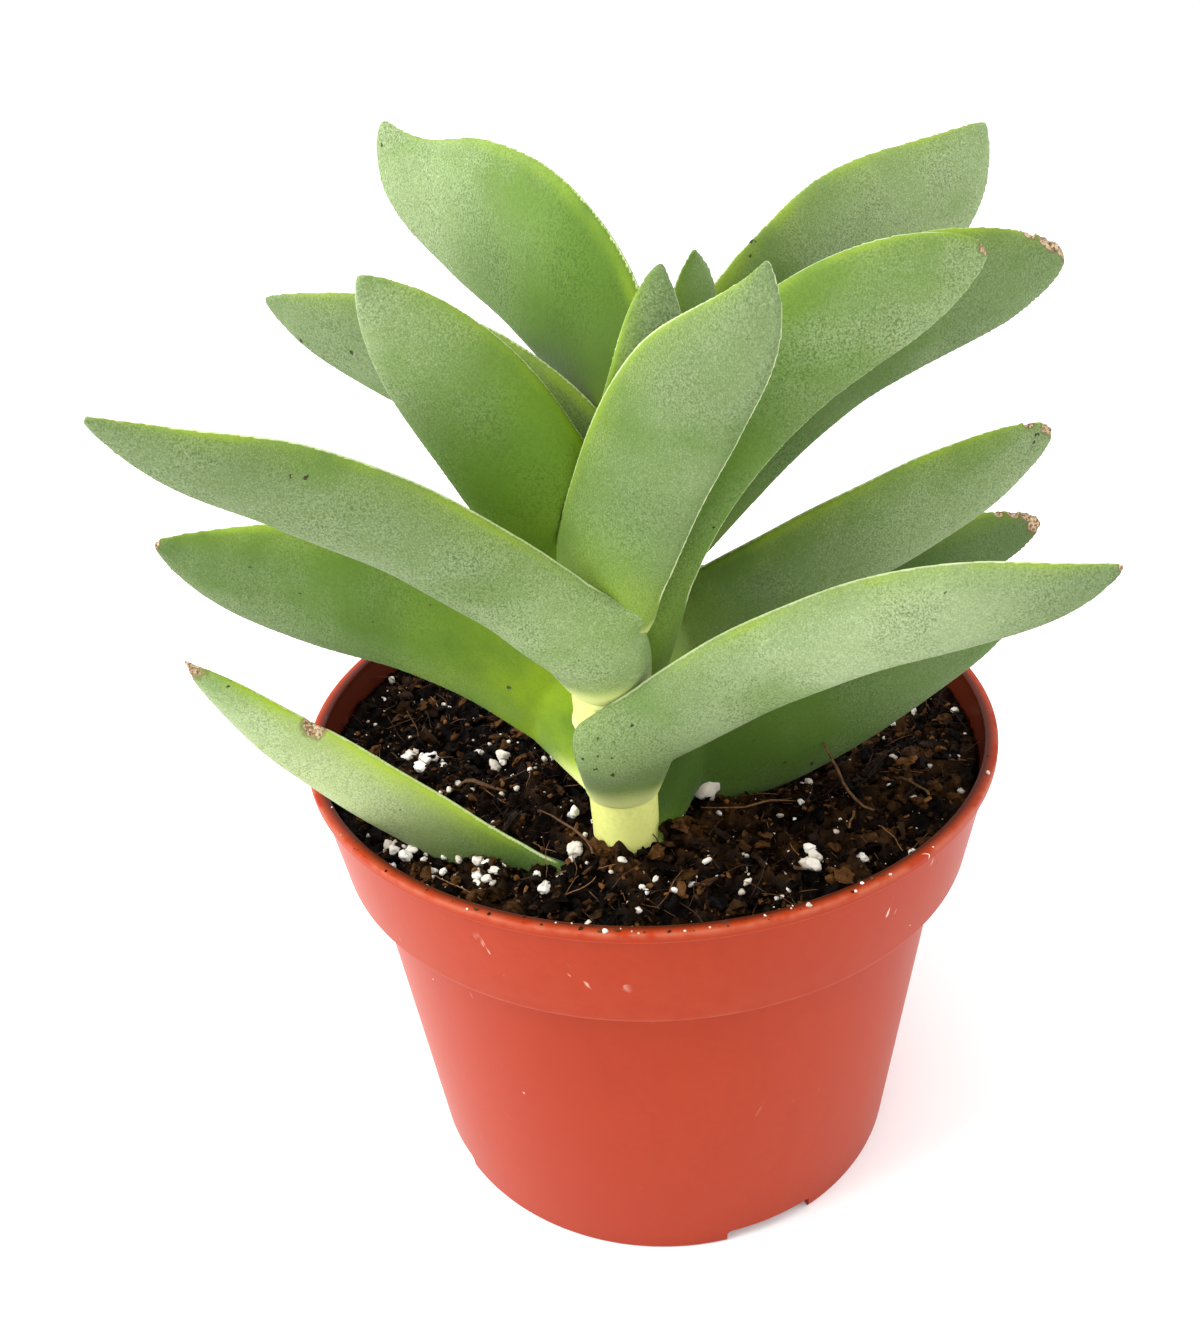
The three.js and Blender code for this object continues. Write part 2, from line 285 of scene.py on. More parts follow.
def raise_rings(
    name: str, rings: Sequence[Ring], sides: int, ends: Ends, foot: Vector
) -> bpy.types.Object:
    """Extrudes a circle from ring to ring into one closed form.

    Args:
        name: The new object's name.
        rings: The rings, from the first to the last.
        sides: Number of sides round each ring.
        ends: How the two ends are closed.
        foot: Where the rings' heights are counted from, in metres.

    Returns:
        The form, with its faces pointing out.
    """
    obj = fresh(
        bpy.ops.mesh.primitive_circle_add, name,
        vertices=sides, radius=rings[0].radius * MM, location=rings[0].centre(foot),
    )
    with editing(obj):
        bpy.ops.mesh.select_all(action="SELECT")
        for before, after in zip(rings, rings[1:]):
            step = after.centre(foot) - before.centre(foot)
            bpy.ops.mesh.extrude_region_move(TRANSFORM_OT_translate={"value": step})
            scale = after.radius / before.radius
            bpy.ops.transform.resize(value=(scale, scale, 1.0), center_override=after.centre(foot))
        if ends is Ends.CAPPED:
            bpy.ops.mesh.edge_face_add()
        bpy.ops.mesh.select_all(action="DESELECT")
        bpy.ops.mesh.select_non_manifold()
        if ends is Ends.CAPPED:
            bpy.ops.mesh.edge_face_add()
        else:
            bpy.ops.mesh.bridge_edge_loops()
        bpy.ops.mesh.select_all(action="SELECT")
        bpy.ops.mesh.normals_make_consistent(inside=False)
    settle(obj)
    return obj


@dataclass(frozen=True)
class Corner:
    """A corner of a turned section, and the radius it is rounded to."""

    radius: float
    height: float
    round_to: float = 0.0


def rounded_section(corners: Sequence[Corner], steps: int = 5) -> list[Ring]:
    """Rounds a closed section's corners, with a ring close on each side of every arc.

    Args:
        corners: The section's corners in order round it.
        steps: Number of steps in each arc.

    Returns:
        The rings of the rounded section.
    """
    rings = []
    for index, corner in enumerate(corners):
        here = Vector((corner.radius, corner.height))
        if corner.round_to == 0.0:
            rings.append(Ring(here.x, here.y))
            continue
        before, after = corners[index - 1], corners[(index + 1) % len(corners)]
        back = (Vector((before.radius, before.height)) - here).normalized()
        on = (Vector((after.radius, after.height)) - here).normalized()
        half = back.angle(on) / 2
        reach = corner.round_to / math.tan(half)
        centre = here + (back + on).normalized() * corner.round_to / math.sin(half)
        begin, end = here + back * reach - centre, here + on * reach - centre
        turn = begin.angle_signed(end)
        rings.append(Ring(*(here + back * (reach + 0.5 * corner.round_to))))
        for step in range(steps + 1):
            arm = begin.copy()
            arm.rotate(Matrix.Rotation(-turn * step / steps, 2))
            rings.append(Ring(*(centre + arm)))
        rings.append(Ring(*(here + on * (reach + 0.5 * corner.round_to))))
    return rings


# ---- Finishes ----


class NodeBoard:
    """Places and wires the nodes of one node tree."""

    def __init__(self, tree: bpy.types.NodeTree) -> None:
        """Starts on a node tree, whose textures will read the board's place."""
        self.tree = tree
        self.place: Feed = None

    def feed(self, socket: bpy.types.NodeSocket, value: Feed) -> None:
        """Wires a socket to another, or sets its plain value."""
        if isinstance(value, bpy.types.NodeSocket):
            self.tree.links.new(value, socket)
        else:
            socket.default_value = value

    def add(
        self, kind: str, inputs: dict[str, Feed] | None = None, **settings: object
    ) -> bpy.types.Node:
        """Adds a node, gives it its settings and feeds its inputs."""
        node = self.tree.nodes.new(kind)
        for name, value in settings.items():
            setattr(node, name, value)
        for name, value in (inputs or {}).items():
            self.feed(node.inputs[name], value)
        return node

    def sum(self, operation: str, *values: Feed) -> bpy.types.NodeSocket:
        """Works out one sum on plain numbers or sockets."""
        node = self.add("ShaderNodeMath", operation=operation)
        for socket, value in zip(node.inputs, values):
            self.feed(socket, value)
        return node.outputs[0]

    def times(self, one: Feed, other: Feed) -> bpy.types.NodeSocket:
        """Multiplies two values."""
        return self.sum("MULTIPLY", one, other)

    def plus(self, one: Feed, other: Feed) -> bpy.types.NodeSocket:
        """Adds two values."""
        return self.sum("ADD", one, other)

    def minus(self, one: Feed, other: Feed) -> bpy.types.NodeSocket:
        """Takes the second value from the first."""
        return self.sum("SUBTRACT", one, other)

    def blend(self, share: Feed, low: Feed, high: Feed) -> bpy.types.NodeSocket:
        """Mixes two colours by a share, which is held between 0 and 1."""
        node = self.add("ShaderNodeMix", data_type="RGBA")
        for index, value in ((0, share), (6, low), (7, high)):
            self.feed(node.inputs[index], value)
        return node.outputs[2]

    def ramp(self, value: Feed, low: float, high: float, top: float = 1.0) -> bpy.types.NodeSocket:
        """Rises softly from 0 to top as the value goes from low to high."""
        inputs = {"Value": value, "From Min": low, "From Max": high, "To Max": top}
        node = self.add("ShaderNodeMapRange", inputs, interpolation_type="SMOOTHSTEP")
        return node.outputs["Result"]

    def clouds(
        self, scale: Feed, detail: float = 3.0, rough: float = 0.5, place: Feed = None
    ) -> bpy.types.NodeSocket:
        """Soft noise from 0 to 1, with about scale lumps in a metre."""
        inputs = {"Vector": place or self.place, "Scale": scale, "Detail": detail, "Roughness": rough}
        return self.add("ShaderNodeTexNoise", inputs).outputs[0]

    def stretched(self, scale: Triple, turn: Triple = (0.0, 0.0, 0.0)) -> bpy.types.NodeSocket:
        """The board's place, stretched along the axes and turned."""
        inputs = {"Vector": self.place, "Scale": scale, "Rotation": turn}
        return self.add("ShaderNodeMapping", inputs).outputs[0]

    def painted(self, name: str) -> bpy.types.NodeSocket:
        """An attribute that is painted on the piece."""
        return self.add("ShaderNodeAttribute", attribute_name=name).outputs["Fac"]


class SharedEffects:
    """Effects that more than one finish uses, each a node group built once."""

    @staticmethod
    def new_group(
        name: str, inputs: dict[str, float], outputs: Sequence[str]
    ) -> tuple[NodeBoard, bpy.types.Node, bpy.types.Node]:
        """Starts a node group whose first input is the place on the piece.

        Args:
            name: The group's name.
            inputs: The other inputs' values.
            outputs: Names of the masks that the group puts out.

        Returns:
            The board to build on, and the group's input and output nodes.
        """
        tree = bpy.data.node_groups.new(name, "ShaderNodeTree")
        tree.interface.new_socket("Place", in_out="INPUT", socket_type="NodeSocketVector")
        for label, value in inputs.items():
            socket = tree.interface.new_socket(label, in_out="INPUT", socket_type="NodeSocketFloat")
            socket.default_value = value
        for label in outputs:
            tree.interface.new_socket(label, in_out="OUTPUT", socket_type="NodeSocketFloat")
        board = NodeBoard(tree)
        given = board.add("NodeGroupInput")
        board.place = given.outputs[0]
        return board, given, board.add("NodeGroupOutput")

    @classmethod
    @cache
    def stipple(cls) -> bpy.types.NodeTree:
        """Fine dots whose strength drifts in soft patches."""
        inputs = {"Dots per metre": 1600.0, "Patches per metre": 90.0}
        board, given, out = cls.new_group("stipple", inputs, ("Dots", "Patches"))
        fine = board.clouds(given.outputs[1], 2.0, 0.65)
        soft = board.clouds(given.outputs[2])
        dots = board.times(board.ramp(fine, 0.43, 0.64), board.ramp(soft, 0.3, 0.7))
        board.feed(out.inputs[0], board.plus(dots, board.ramp(fine, 0.36, 0.68, 0.4)))
        board.feed(out.inputs[1], soft)
        return board.tree

    @classmethod
    @cache
    def specks(cls) -> bpy.types.NodeTree:
        """Small scattered specks, in some cells of a lattice and not in others."""
        inputs = {"Specks per metre": 300.0, "Share": 0.1, "Size": 0.2}
        board, given, out = cls.new_group("specks", inputs, ("Mask",))
        ragged = board.clouds(2500.0, 2.0, 0.6)
        cell = board.add("ShaderNodeTexVoronoi", {"Vector": board.place, "Scale": given.outputs[1]})
        split = board.add("ShaderNodeSeparateColor", {"Color": cell.outputs["Color"]})
        chosen = board.sum("LESS_THAN", split.outputs[0], given.outputs[2])
        size = board.times(given.outputs[3], board.plus(ragged, split.outputs[1]))
        near = board.sum("LESS_THAN", cell.outputs["Distance"], size)
        board.feed(out.inputs[0], board.times(near, chosen))
        return board.tree


class MaterialBoard(NodeBoard):
    """The board of one material, whose colour is laid on coat by coat."""

    def __init__(self, name: str, ground: Colour, roughness: float, specular: float) -> None:
        """Makes the material with its one surface shader, and starts from a ground colour."""
        self.material = bpy.data.materials.new(name)
        self.material.use_nodes = True
        super().__init__(self.material.node_tree)
        self.place = self.add("ShaderNodeTexCoord").outputs["Object"]
        self.shader = self.tree.nodes["Principled BSDF"]
        self.colour: Feed = ground
        self.set("Roughness", roughness)
        self.set("Specular IOR Level", specular)

    def set(self, name: str, value: Feed) -> None:
        """Feeds an input of the surface shader."""
        self.feed(self.shader.inputs[name], value)

    def lay(self, over: Feed, share: Feed, strength: Feed = 1.0) -> None:
        """Lays a coat over those before it.

        Args:
            over: The coat's colour.
            share: Where the coat shows, from 0 to 1.
            strength: How strongly it shows, from 0 to 1.
        """
        if strength != 1.0:
            share = self.times(share, strength)
        self.colour = self.blend(share, self.colour, over)

    def bump(self, height: Feed, depth: float) -> None:
        """Lets a height, from 0 to 1, raise the surface by up to depth millimetres."""
        inputs = {"Height": height, "Distance": depth * MM, "Strength": 1.0}
        self.set("Normal", self.add("ShaderNodeBump", inputs).outputs[0])

    def effect(self, group: bpy.types.NodeTree, *values: float) -> Sequence[bpy.types.NodeSocket]:
        """Places a shared effect, with values for its inputs after the place."""
        node = self.add("ShaderNodeGroup", node_tree=group)
        for socket, value in zip(node.inputs, (self.place, *values)):
            self.feed(socket, value)
        return node.outputs

    def stipple(self, dots: float, patches: float) -> Sequence[bpy.types.NodeSocket]:
        """Fine dots and the soft patches that they drift in, with so many of each in a metre."""
        return self.effect(SharedEffects.stipple(), dots, patches)

    def specks(self, per_metre: float, share: float, size: float) -> bpy.types.NodeSocket:
        """Specks in a share of the cells of a lattice, their size as a part of a cell."""
        return self.effect(SharedEffects.specks(), per_metre, share, size)[0]

    def done(self) -> bpy.types.Material:
        """Feeds the colour to the shader and gives the finished material."""
        self.set("Base Color", self.colour)
        return self.material


@dataclass(frozen=True)
class Finish:
    """What every finish shares: its name, and how rough and shiny it is."""

    name: str
    roughness: float = 0.5
    specular: float = 0.5

    def start(self, ground: Colour) -> MaterialBoard:
        """Opens the material's board with its ground colour."""
        return MaterialBoard(self.name, ground, self.roughness, self.specular)


@dataclass(frozen=True)
class LeafSkin(Finish):
    """Fleshy grey-green skin with a pale bloom, a lime rim line and corky brown marks."""

    green: Colour = (0.105, 0.190, 0.024, 1.0)
    deep: Colour = (0.025, 0.060, 0.003, 1.0)
    bloom: Colour = (0.275, 0.35, 0.175, 1.0)
    wax: Colour = (0.50, 0.60, 0.36, 1.0)
    lime: Colour = (0.205, 0.31, 0.004, 1.0)
    rim: Colour = (0.52, 0.60, 0.32, 1.0)
    pale: Colour = (0.80, 0.85, 0.33, 1.0)
    rich: Colour = (0.085, 0.175, 0.008, 1.0)
    cork: Colour = (0.52, 0.40, 0.25, 1.0)
    scorch: Colour = (0.11, 0.05, 0.02, 1.0)
    soot: Colour = (0.03, 0.025, 0.012, 1.0)

    def make(self) -> bpy.types.Material:
        """Builds the material, which reads the attributes that Leaf.dress paints."""
        board = self.start(self.green)
        dots, patches = board.stipple(3200.0, 110.0)
        rich = board.painted("rich")
        frost = board.plus(board.painted("frost"), board.ramp(patches, 0.3, 0.75, 0.5))
        board.lay(self.bloom, frost, 0.75)
        board.lay(self.rich, rich, 0.95)
        board.lay(self.deep, dots, 0.46)
        board.lay(self.deep, board.stipple(1500.0, 260.0)[0], 0.1)
        wax = board.ramp(board.clouds(4600.0, 2.0, 0.7), 0.47, 0.68, 0.38)
        board.lay(self.wax, wax, board.minus(board.ramp(frost, 0.0, 0.8), rich))
        board.lay(self.deep, board.ramp(board.clouds(38.0, 2.0), 0.45, 0.7, 0.2))
        fresh_patches = board.clouds(62.0, 2.0, place=board.stretched((1.0, 1.0, 1.7)))
        board.lay(self.rich, board.ramp(fresh_patches, 0.5, 0.75, 0.4))
        # Painted shade: the painted tone darkens the skin where the leaf lies in shadow or deep in the
        # rosette.
        board.lay(self.deep, board.painted("tone"), 0.6)
        board.lay(self.lime, board.painted("blush"), board.ramp(patches, 0.15, 0.7))
        board.lay(self.pale, board.painted("pale"))
        ragged = board.times(board.clouds(420.0), 0.4)
        # The rim line, with the painted highlight on the upper margin.
        board.lay(self.rim, board.ramp(board.plus(board.painted("rim"), ragged), 0.75, 1.15, 0.75))
        board.lay(self.soot, board.specks(230.0, 0.03, 0.14), 0.85)
        torn = board.times(board.clouds(2600.0), 1.1)
        board.lay(self.soot, board.ramp(board.plus(board.painted("dirt"), torn), 1.16, 1.3))
        cork = self.lay_cork(board)
        rough = board.plus(board.times(dots, 0.1), self.roughness)
        board.set("Roughness", board.plus(rough, board.times(cork, 0.25)))
        board.set("Sheen Weight", 0.04)
        board.set("Sheen Roughness", 0.5)
        board.bump(board.minus(board.clouds(1500.0, 2.0, 0.6), cork), 0.05)
        return board.done()

    def lay_cork(self, board: MaterialBoard) -> bpy.types.NodeSocket:
        """Lays dry brown cork over the painted scabs, with a scorched edge.

        Args:
            board: The board that the leaf's material is built on.

        Returns:
            The cork's mask.
        """
        ragged = board.minus(board.clouds(900.0, 4.0, 0.6), 0.5)
        reach = board.plus(board.painted("scab"), board.times(ragged, 0.5))
        cork = board.ramp(reach, 0.5, 0.62)
        grain = board.ramp(board.clouds(2200.0, 3.0, 0.7), 0.35, 0.65)
        board.lay(self.scorch, board.ramp(reach, 0.36, 0.5), 0.5)
        board.lay(board.blend(grain, self.scorch, self.cork), cork)
        return cork


@dataclass(frozen=True)
class StemSkin(Finish):
    """Smooth pale yellow-green skin that turns leaf green where leaves clasp it."""

    cream: Colour = (0.80, 0.80, 0.24, 1.0)
    green: Colour = (0.36, 0.50, 0.13, 1.0)
    tan: Colour = (0.40, 0.33, 0.13, 1.0)

    def make(self) -> bpy.types.Material:
        """Builds the material, which reads the painted attributes green and dry."""
        board = self.start(self.cream)
        dots, patches = board.stipple(1300.0, 160.0)
        board.lay(self.green, board.painted("green"))
        board.lay(self.green, dots, 0.2)
        board.lay(self.tan, board.painted("dry"), board.ramp(patches, 0.3, 0.7))
        board.bump(board.clouds(900.0, 2.0), 0.05)
        return board.done()


@dataclass(frozen=True)
class PotPlastic(Finish):
    """Moulded plastic of one colour, a little dusty, scuffed on its rim band and lip, with wear and a
    painted highlight on its edges and painted shade on its inner wall.
    """

    clay: Colour = (0.285, 0.021, 0.001, 1.0)
    faded: Colour = (0.33, 0.030, 0.003, 1.0)
    dark: Colour = (0.22, 0.013, 0.001, 1.0)
    # dust lightens the edges with wear, and so paints a highlight along them as well.
    dust: Colour = (0.50, 0.22, 0.14, 1.0)
    nick: Colour = (0.75, 0.55, 0.46, 1.0)
    soil: Colour = (0.05, 0.025, 0.015, 1.0)
    shade: Colour = (0.045, 0.008, 0.003, 1.0)

    def make(self) -> bpy.types.Material:
        """Builds the material, which reads the painted attributes edge, band and inside."""
        board = self.start(self.clay)
        dots, patches = board.stipple(700.0, 24.0)
        inside = board.painted("inside")
        board.lay(self.faded, board.ramp(patches, 0.3, 0.7, 0.5))
        streaks = board.clouds(260.0, place=board.stretched((1.0, 1.0, 0.12)))
        board.lay(self.dark, board.ramp(streaks, 0.5, 0.75, 0.12))
        board.lay(self.dark, dots, 0.1)
        # Edge wear, which also stands as a painted highlight along the lip's outer edge and the step.
        wear_and_highlight = board.times(board.painted("edge"), board.ramp(board.clouds(300.0, 4.0), 0.35, 0.6))
        board.lay(self.dust, wear_and_highlight, 0.3)
        board.lay(self.nick, self.scratches(board), board.painted("band"))
        board.lay(self.nick, board.specks(150.0, 0.05, 0.07))
        # Painted shade: the inner wall above the mix is darkened.
        board.lay(self.shade, inside, 0.93)
        board.lay(self.soil, board.specks(420.0, 0.05, 0.2), inside)
        rough = board.plus(self.roughness, board.times(patches, 0.12))
        board.set("Roughness", board.plus(rough, board.times(wear_and_highlight, 0.2)))
        board.bump(board.clouds(1100.0, 2.0, 0.7), 0.012)
        return board.done()

    def scratches(self, board: MaterialBoard) -> bpy.types.NodeSocket:
        """Thin short scuffs, as far as a turned and stretched noise lets them show."""
        slanted = board.stretched((1.0, 9.0, 1.0), (0.3, 0.5, 0.9))
        lines = board.ramp(board.clouds(160.0, 2.0, place=slanted), 0.70, 0.74)
        return board.times(lines, board.ramp(board.clouds(55.0, 2.0), 0.5, 0.66))


@dataclass(frozen=True)
class Crumbly(Finish):
    """Loose matter whose bits differ in colour, from dark to light, each by its own tone."""

    dark: Colour = (0.0008, 0.0003, 0.0001, 1.0)
    light: Colour = (0.165, 0.07, 0.021, 1.0)
    stain: Colour = (0.0025, 0.001, 0.0003, 1.0)
    grain: float = 900.0
    relief: float = 0.25

    def make(self) -> bpy.types.Material:
        """Builds the material, which reads the painted attribute tone; on the bed it also carries
        painted shade in the hollows.
        """
        board = self.start(self.dark)
        board.lay(self.light, board.painted("tone"))
        board.lay(self.stain, board.stipple(self.grain, self.grain / 5)[0], 0.6)
        board.bump(board.clouds(self.grain, 4.0, 0.7), self.relief)
        return board.done()


@dataclass(frozen=True)
class StudioFloor(Finish):
    """Plain white paper."""

    white: Colour = (0.93, 0.93, 0.93, 1.0)
    shaded: Colour = (0.9, 0.9, 0.91, 1.0)

    def make(self) -> bpy.types.Material:
        """Builds the material."""
        board = self.start(self.white)
        board.lay(self.shaded, board.ramp(board.clouds(3.0, 2.0), 0.0, 1.0, 0.02))
        return board.done()


# ---- Pot ----


@dataclass
class Pot:
    """The nursery pot: foot ring with drain notches, tapering wall, rim band and lip."""

    rim_radius: float = 57.0
    lip_inner_radius: float = 54.9
    height: float = 82.0
    lip_height: float = 1.4
    band_bottom_radius: float = 53.5
    band_bottom_height: float = 62.7
    body_top_radius: float = 49.8
    foot_radius: float = 42.7
    foot_width: float = 2.4
    wall: float = 1.1
    recess: float = 3.0
    floor: float = 1.2
    notches: int = 4
    first_notch_angle: float = -66.0
    notch_width: float = 16.0
    notch_height: float = 2.6
    hole_radius: float = 4.0
    hole_circle_radius: float = 31.0
    centre_hole_radius: float = 5.0
    hole_sides: int = 32
    notch_rounding: float = 0.7
    sharpest_smooth: float = 35.0
    shaded_and_soiled_above: float = 60.0
    sides: int = 180
    finish: PotPlastic = PotPlastic("terracotta_plastic", roughness=0.33, specular=0.11)

    def body_radius(self, height: float) -> float:
        """The body's outer radius at a height below the rim band."""
        share = height / self.band_bottom_height
        return self.foot_radius + (self.body_top_radius - self.foot_radius) * share

    def inner_radius(self, height: float) -> float:
        """The wall's inner radius at a height, up to the lip."""
        step = self.band_bottom_height + self.wall
        if height < step:
            return self.body_radius(height) - self.wall
        share = (height - step) / (self.height - self.lip_height - step)
        low = self.band_bottom_radius - self.wall
        return low + (self.lip_inner_radius - low) * share

    def section(self) -> list[Corner]:
        """The corners of the closed section, from the centre hole's lower edge outwards."""
        step, top = self.band_bottom_height, self.height
        lip = top - self.lip_height
        foot_inner = self.foot_radius - self.foot_width
        floor_top = self.recess + self.floor
        return [
            Corner(self.centre_hole_radius, self.recess),
            Corner(foot_inner, self.recess, 0.6),
            Corner(foot_inner, 0.0, 0.35),
            Corner(self.foot_radius, 0.0, 0.6),
            Corner(self.body_radius(step - 0.6), step - 0.6, 0.8),
            Corner(self.band_bottom_radius, step + 0.2, 0.7),
            Corner(self.rim_radius - 0.9, lip - 0.7, 0.6),
            Corner(self.rim_radius, lip, 0.4),
            Corner(self.rim_radius, top, 0.4),
            Corner(self.lip_inner_radius, top, 0.35),
            Corner(self.lip_inner_radius, lip, 0.5),
            Corner(self.inner_radius(step + self.wall + 0.6), step + self.wall + 0.6, 0.6),
            Corner(self.body_radius(step) - self.wall, step + self.wall, 0.6),
            Corner(self.body_radius(floor_top) - self.wall, floor_top, 1.2),
            Corner(self.centre_hole_radius, floor_top),
        ]

    def cutters(self) -> list[bpy.types.Object]:
        """A block for each drain notch and a round bar for each drain hole."""
        made = []
        for index in range(self.notches):
            turn = math.radians(self.first_notch_angle) + index * math.tau / self.notches
            outward = Vector((math.cos(turn), math.sin(turn), 0.0))
            block = fresh(
                bpy.ops.mesh.primitive_cube_add, "notch_cutter",
                size=1.0, location=POT_AXIS + outward * self.foot_radius * MM, rotation=(0, 0, turn),
            )
            block.scale = Vector((3 * self.foot_width, self.notch_width, 2 * self.notch_height)) * MM
            settle(block)
            with editing(block):
                pick(block, lambda place: place.z > 0.0)
                bpy.ops.mesh.bevel(offset=self.notch_rounding * MM, segments=3)
            middle = outward * self.hole_circle_radius + Vector((0, 0, self.recess + self.floor / 2))
            bar = fresh(
                bpy.ops.mesh.primitive_cylinder_add, "hole_cutter", vertices=self.hole_sides,
                radius=self.hole_radius * MM, depth=4 * self.floor * MM, location=at(*middle),
            )
            made += [block, bar]
        return made

    def build(self) -> None:
        """Models the pot and cuts its notches and holes."""
        rings = rounded_section(self.section())
        pot = raise_rings("pot_shell", rings, self.sides, Ends.JOINED, POT_AXIS)
        for cutter in self.cutters():
            apply_modifier(pot, "BOOLEAN", object=cutter, operation="DIFFERENCE", solver="EXACT")
            bpy.data.objects.remove(cutter)
        take_up(pot)
        bpy.ops.object.shade_smooth_by_angle(angle=math.radians(self.sharpest_smooth))
        self.paint_wear_highlight_and_shade(pot)
        hand_over(pot, self.finish.make(), ["pot"])

    def paint_wear_highlight_and_shade(self, pot: bpy.types.Object) -> None:
        """Marks the edges, with their wear and a painted highlight, the scuffed band, and the inside,
        which gets painted shade and soil specks.
        """
        x, y, height = in_mm(pot).T
        radius = np.hypot(x, y)
        inner = np.array([self.inner_radius(h) for h in height])
        # The lip's outer edge and the step's edge: edge wear, and a painted highlight along them.
        lip_edge = np.exp(-((radius - self.rim_radius) ** 2 + (height - self.height) ** 2) / 0.35)
        below = (radius - self.band_bottom_radius) ** 2 + (height - self.band_bottom_height) ** 2
        step_edge = np.exp(-below / 0.5)
        paint(pot, "edge", np.maximum(lip_edge, 0.7 * step_edge))
        paint(pot, "band", smooth_ramp(height, self.band_bottom_height - 6, self.height - 8))
        # The inner wall above the mix: painted shade, and where the soil specks lie.
        paint(pot, "inside", ((radius < inner + 0.6) & (height > self.shaded_and_soiled_above)).astype(float))


# ---- Potting mix ----


@dataclass(frozen=True)
class Mound:
    """A soft rise or hollow of the mix: its middle, its reach and its height."""

    x: float
    y: float
    reach: float
    height: float


@dataclass(frozen=True)
class Heap:
    """A heap of grains: its middle, how many, how far they spread, their size."""

    x: float
    y: float
    count: int
    spread: float
    size: float


@dataclass(frozen=True)
class Twig:
    """A single listed strand: where it starts and ends, and how many times thicker it is."""

    start: tuple[float, float]
    end: tuple[float, float]
    thickness: float


@dataclass(frozen=True)
class Strewing:
    """How many bits of one kind lie on the mix, how big they are and how they lie."""

    name: str
    count: int
    sizes: tuple[float, float]
    tones: tuple[float, float]
    sunk: float = 0.25
    tilt: float = 40.0
    small_ones: float = 2.0
    dark_ones: float = 3.6


class BitMaker:
    """Models the bits that are strewn over the mix, each once, a millimetre across.

    The numbers for each kind of dent are how wide it is, how deep, and a step in the seed.
    """

    crumb_dents: tuple[Dent, ...] = ((0.3, 1.0, 0),)
    grain_dents: tuple[Dent, ...] = ((0.55, 0.6, 5), (0.2, 0.22, 0))
    chip_size: Triple = (1.0, 0.38, 0.2)
    fibre_radius: float = 0.13
    fibre_step: float = 1.25
    fibre_steps: int = 8

    @staticmethod
    def lump(
        name: str, finer: int, seed: int, dents: Sequence[Dent], scale: Triple
    ) -> bpy.types.Object:
        """A faceted ball that is dented and squashed into a lump.

        Args:
            name: The lump's name.
            finer: How many times the ball's faces are divided.
            seed: Which lump of its kind it is.
            dents: For each texture, how large its dents are, how deep, and a step in the seed.
            scale: How much the lump is squashed along each axis.

        Returns:
            The lump.
        """
        lump = fresh(
            bpy.ops.mesh.primitive_ico_sphere_add, f"{name}_{seed}",
            subdivisions=finer, radius=0.5 * MM,
        )
        for wide, deep, step in dents:
            BitMaker.dent(lump, wide, deep, seed + step)
        lump.scale = scale
        settle(lump)
        return lump

    @staticmethod
    def dent(obj: bpy.types.Object, wide: float, deep: float, seed: int) -> None:
        """Roughens a bit, and differently for each seed."""
        shift = Matrix.Translation(Vector((seed * 7.3, seed * 3.1, seed * 1.7)) * MM)
        obj.data.transform(shift)
        roughen(obj, wide, deep)
        obj.data.transform(shift.inverted())

    @classmethod
    def crumb(cls, seed: int, finer: int = 2) -> bpy.types.Object:
        """A ragged lump of peat."""
        squash = (1.0, 0.6 + 0.12 * (seed % 3), 0.6)
        return cls.lump("crumb", finer, seed, cls.crumb_dents, squash)

    @classmethod
    def grain(cls, seed: int, finer: int = 2) -> bpy.types.Object:
        """A puffed pale mineral grain with pits."""
        return smooth(cls.lump("grain", finer, seed, cls.grain_dents, (1.0, 0.85, 0.8)))

    @classmethod
    def chip(cls, seed: int) -> bpy.types.Object:
        """A splintered flake of bark."""
        flake = fresh(bpy.ops.mesh.primitive_cube_add, f"chip_{seed}", size=MM, scale=cls.chip_size)
        settle(flake)
        with editing(flake):
            bpy.ops.mesh.select_all(action="SELECT")
            bpy.ops.mesh.subdivide(number_cuts=2)
        cls.dent(flake, 0.3, 0.6, seed)
        return flake

    @classmethod
    def fibre(cls, seed: int) -> bpy.types.Object:
        """A thin bent strand, ten millimetres long before it is scaled."""
        draw = random.Random(seed)
        aside = Vector((0.0, 0.0))
        drift = Vector((draw.uniform(-0.5, 0.5), draw.uniform(-0.5, 0.5)))
        rings = []
        for step in range(cls.fibre_steps + 1):
            thin = cls.fibre_radius * math.sin(math.pi * (step + 0.6) / (cls.fibre_steps + 1.2)) ** 0.4
            height = (step - cls.fibre_steps / 2) * cls.fibre_step
            rings.append(Ring(thin, height, (aside.x, aside.y)))
            drift += Vector((draw.uniform(-0.45, 0.45), draw.uniform(-0.45, 0.45)))
            aside = aside + drift * 0.7
        strand = raise_rings(f"fibre_{seed}", rings, 5, Ends.CAPPED, Vector((0, 0, 0)))
        strand.data.transform(Matrix.Rotation(math.pi / 2, 4, "X"))
        return smooth(strand)


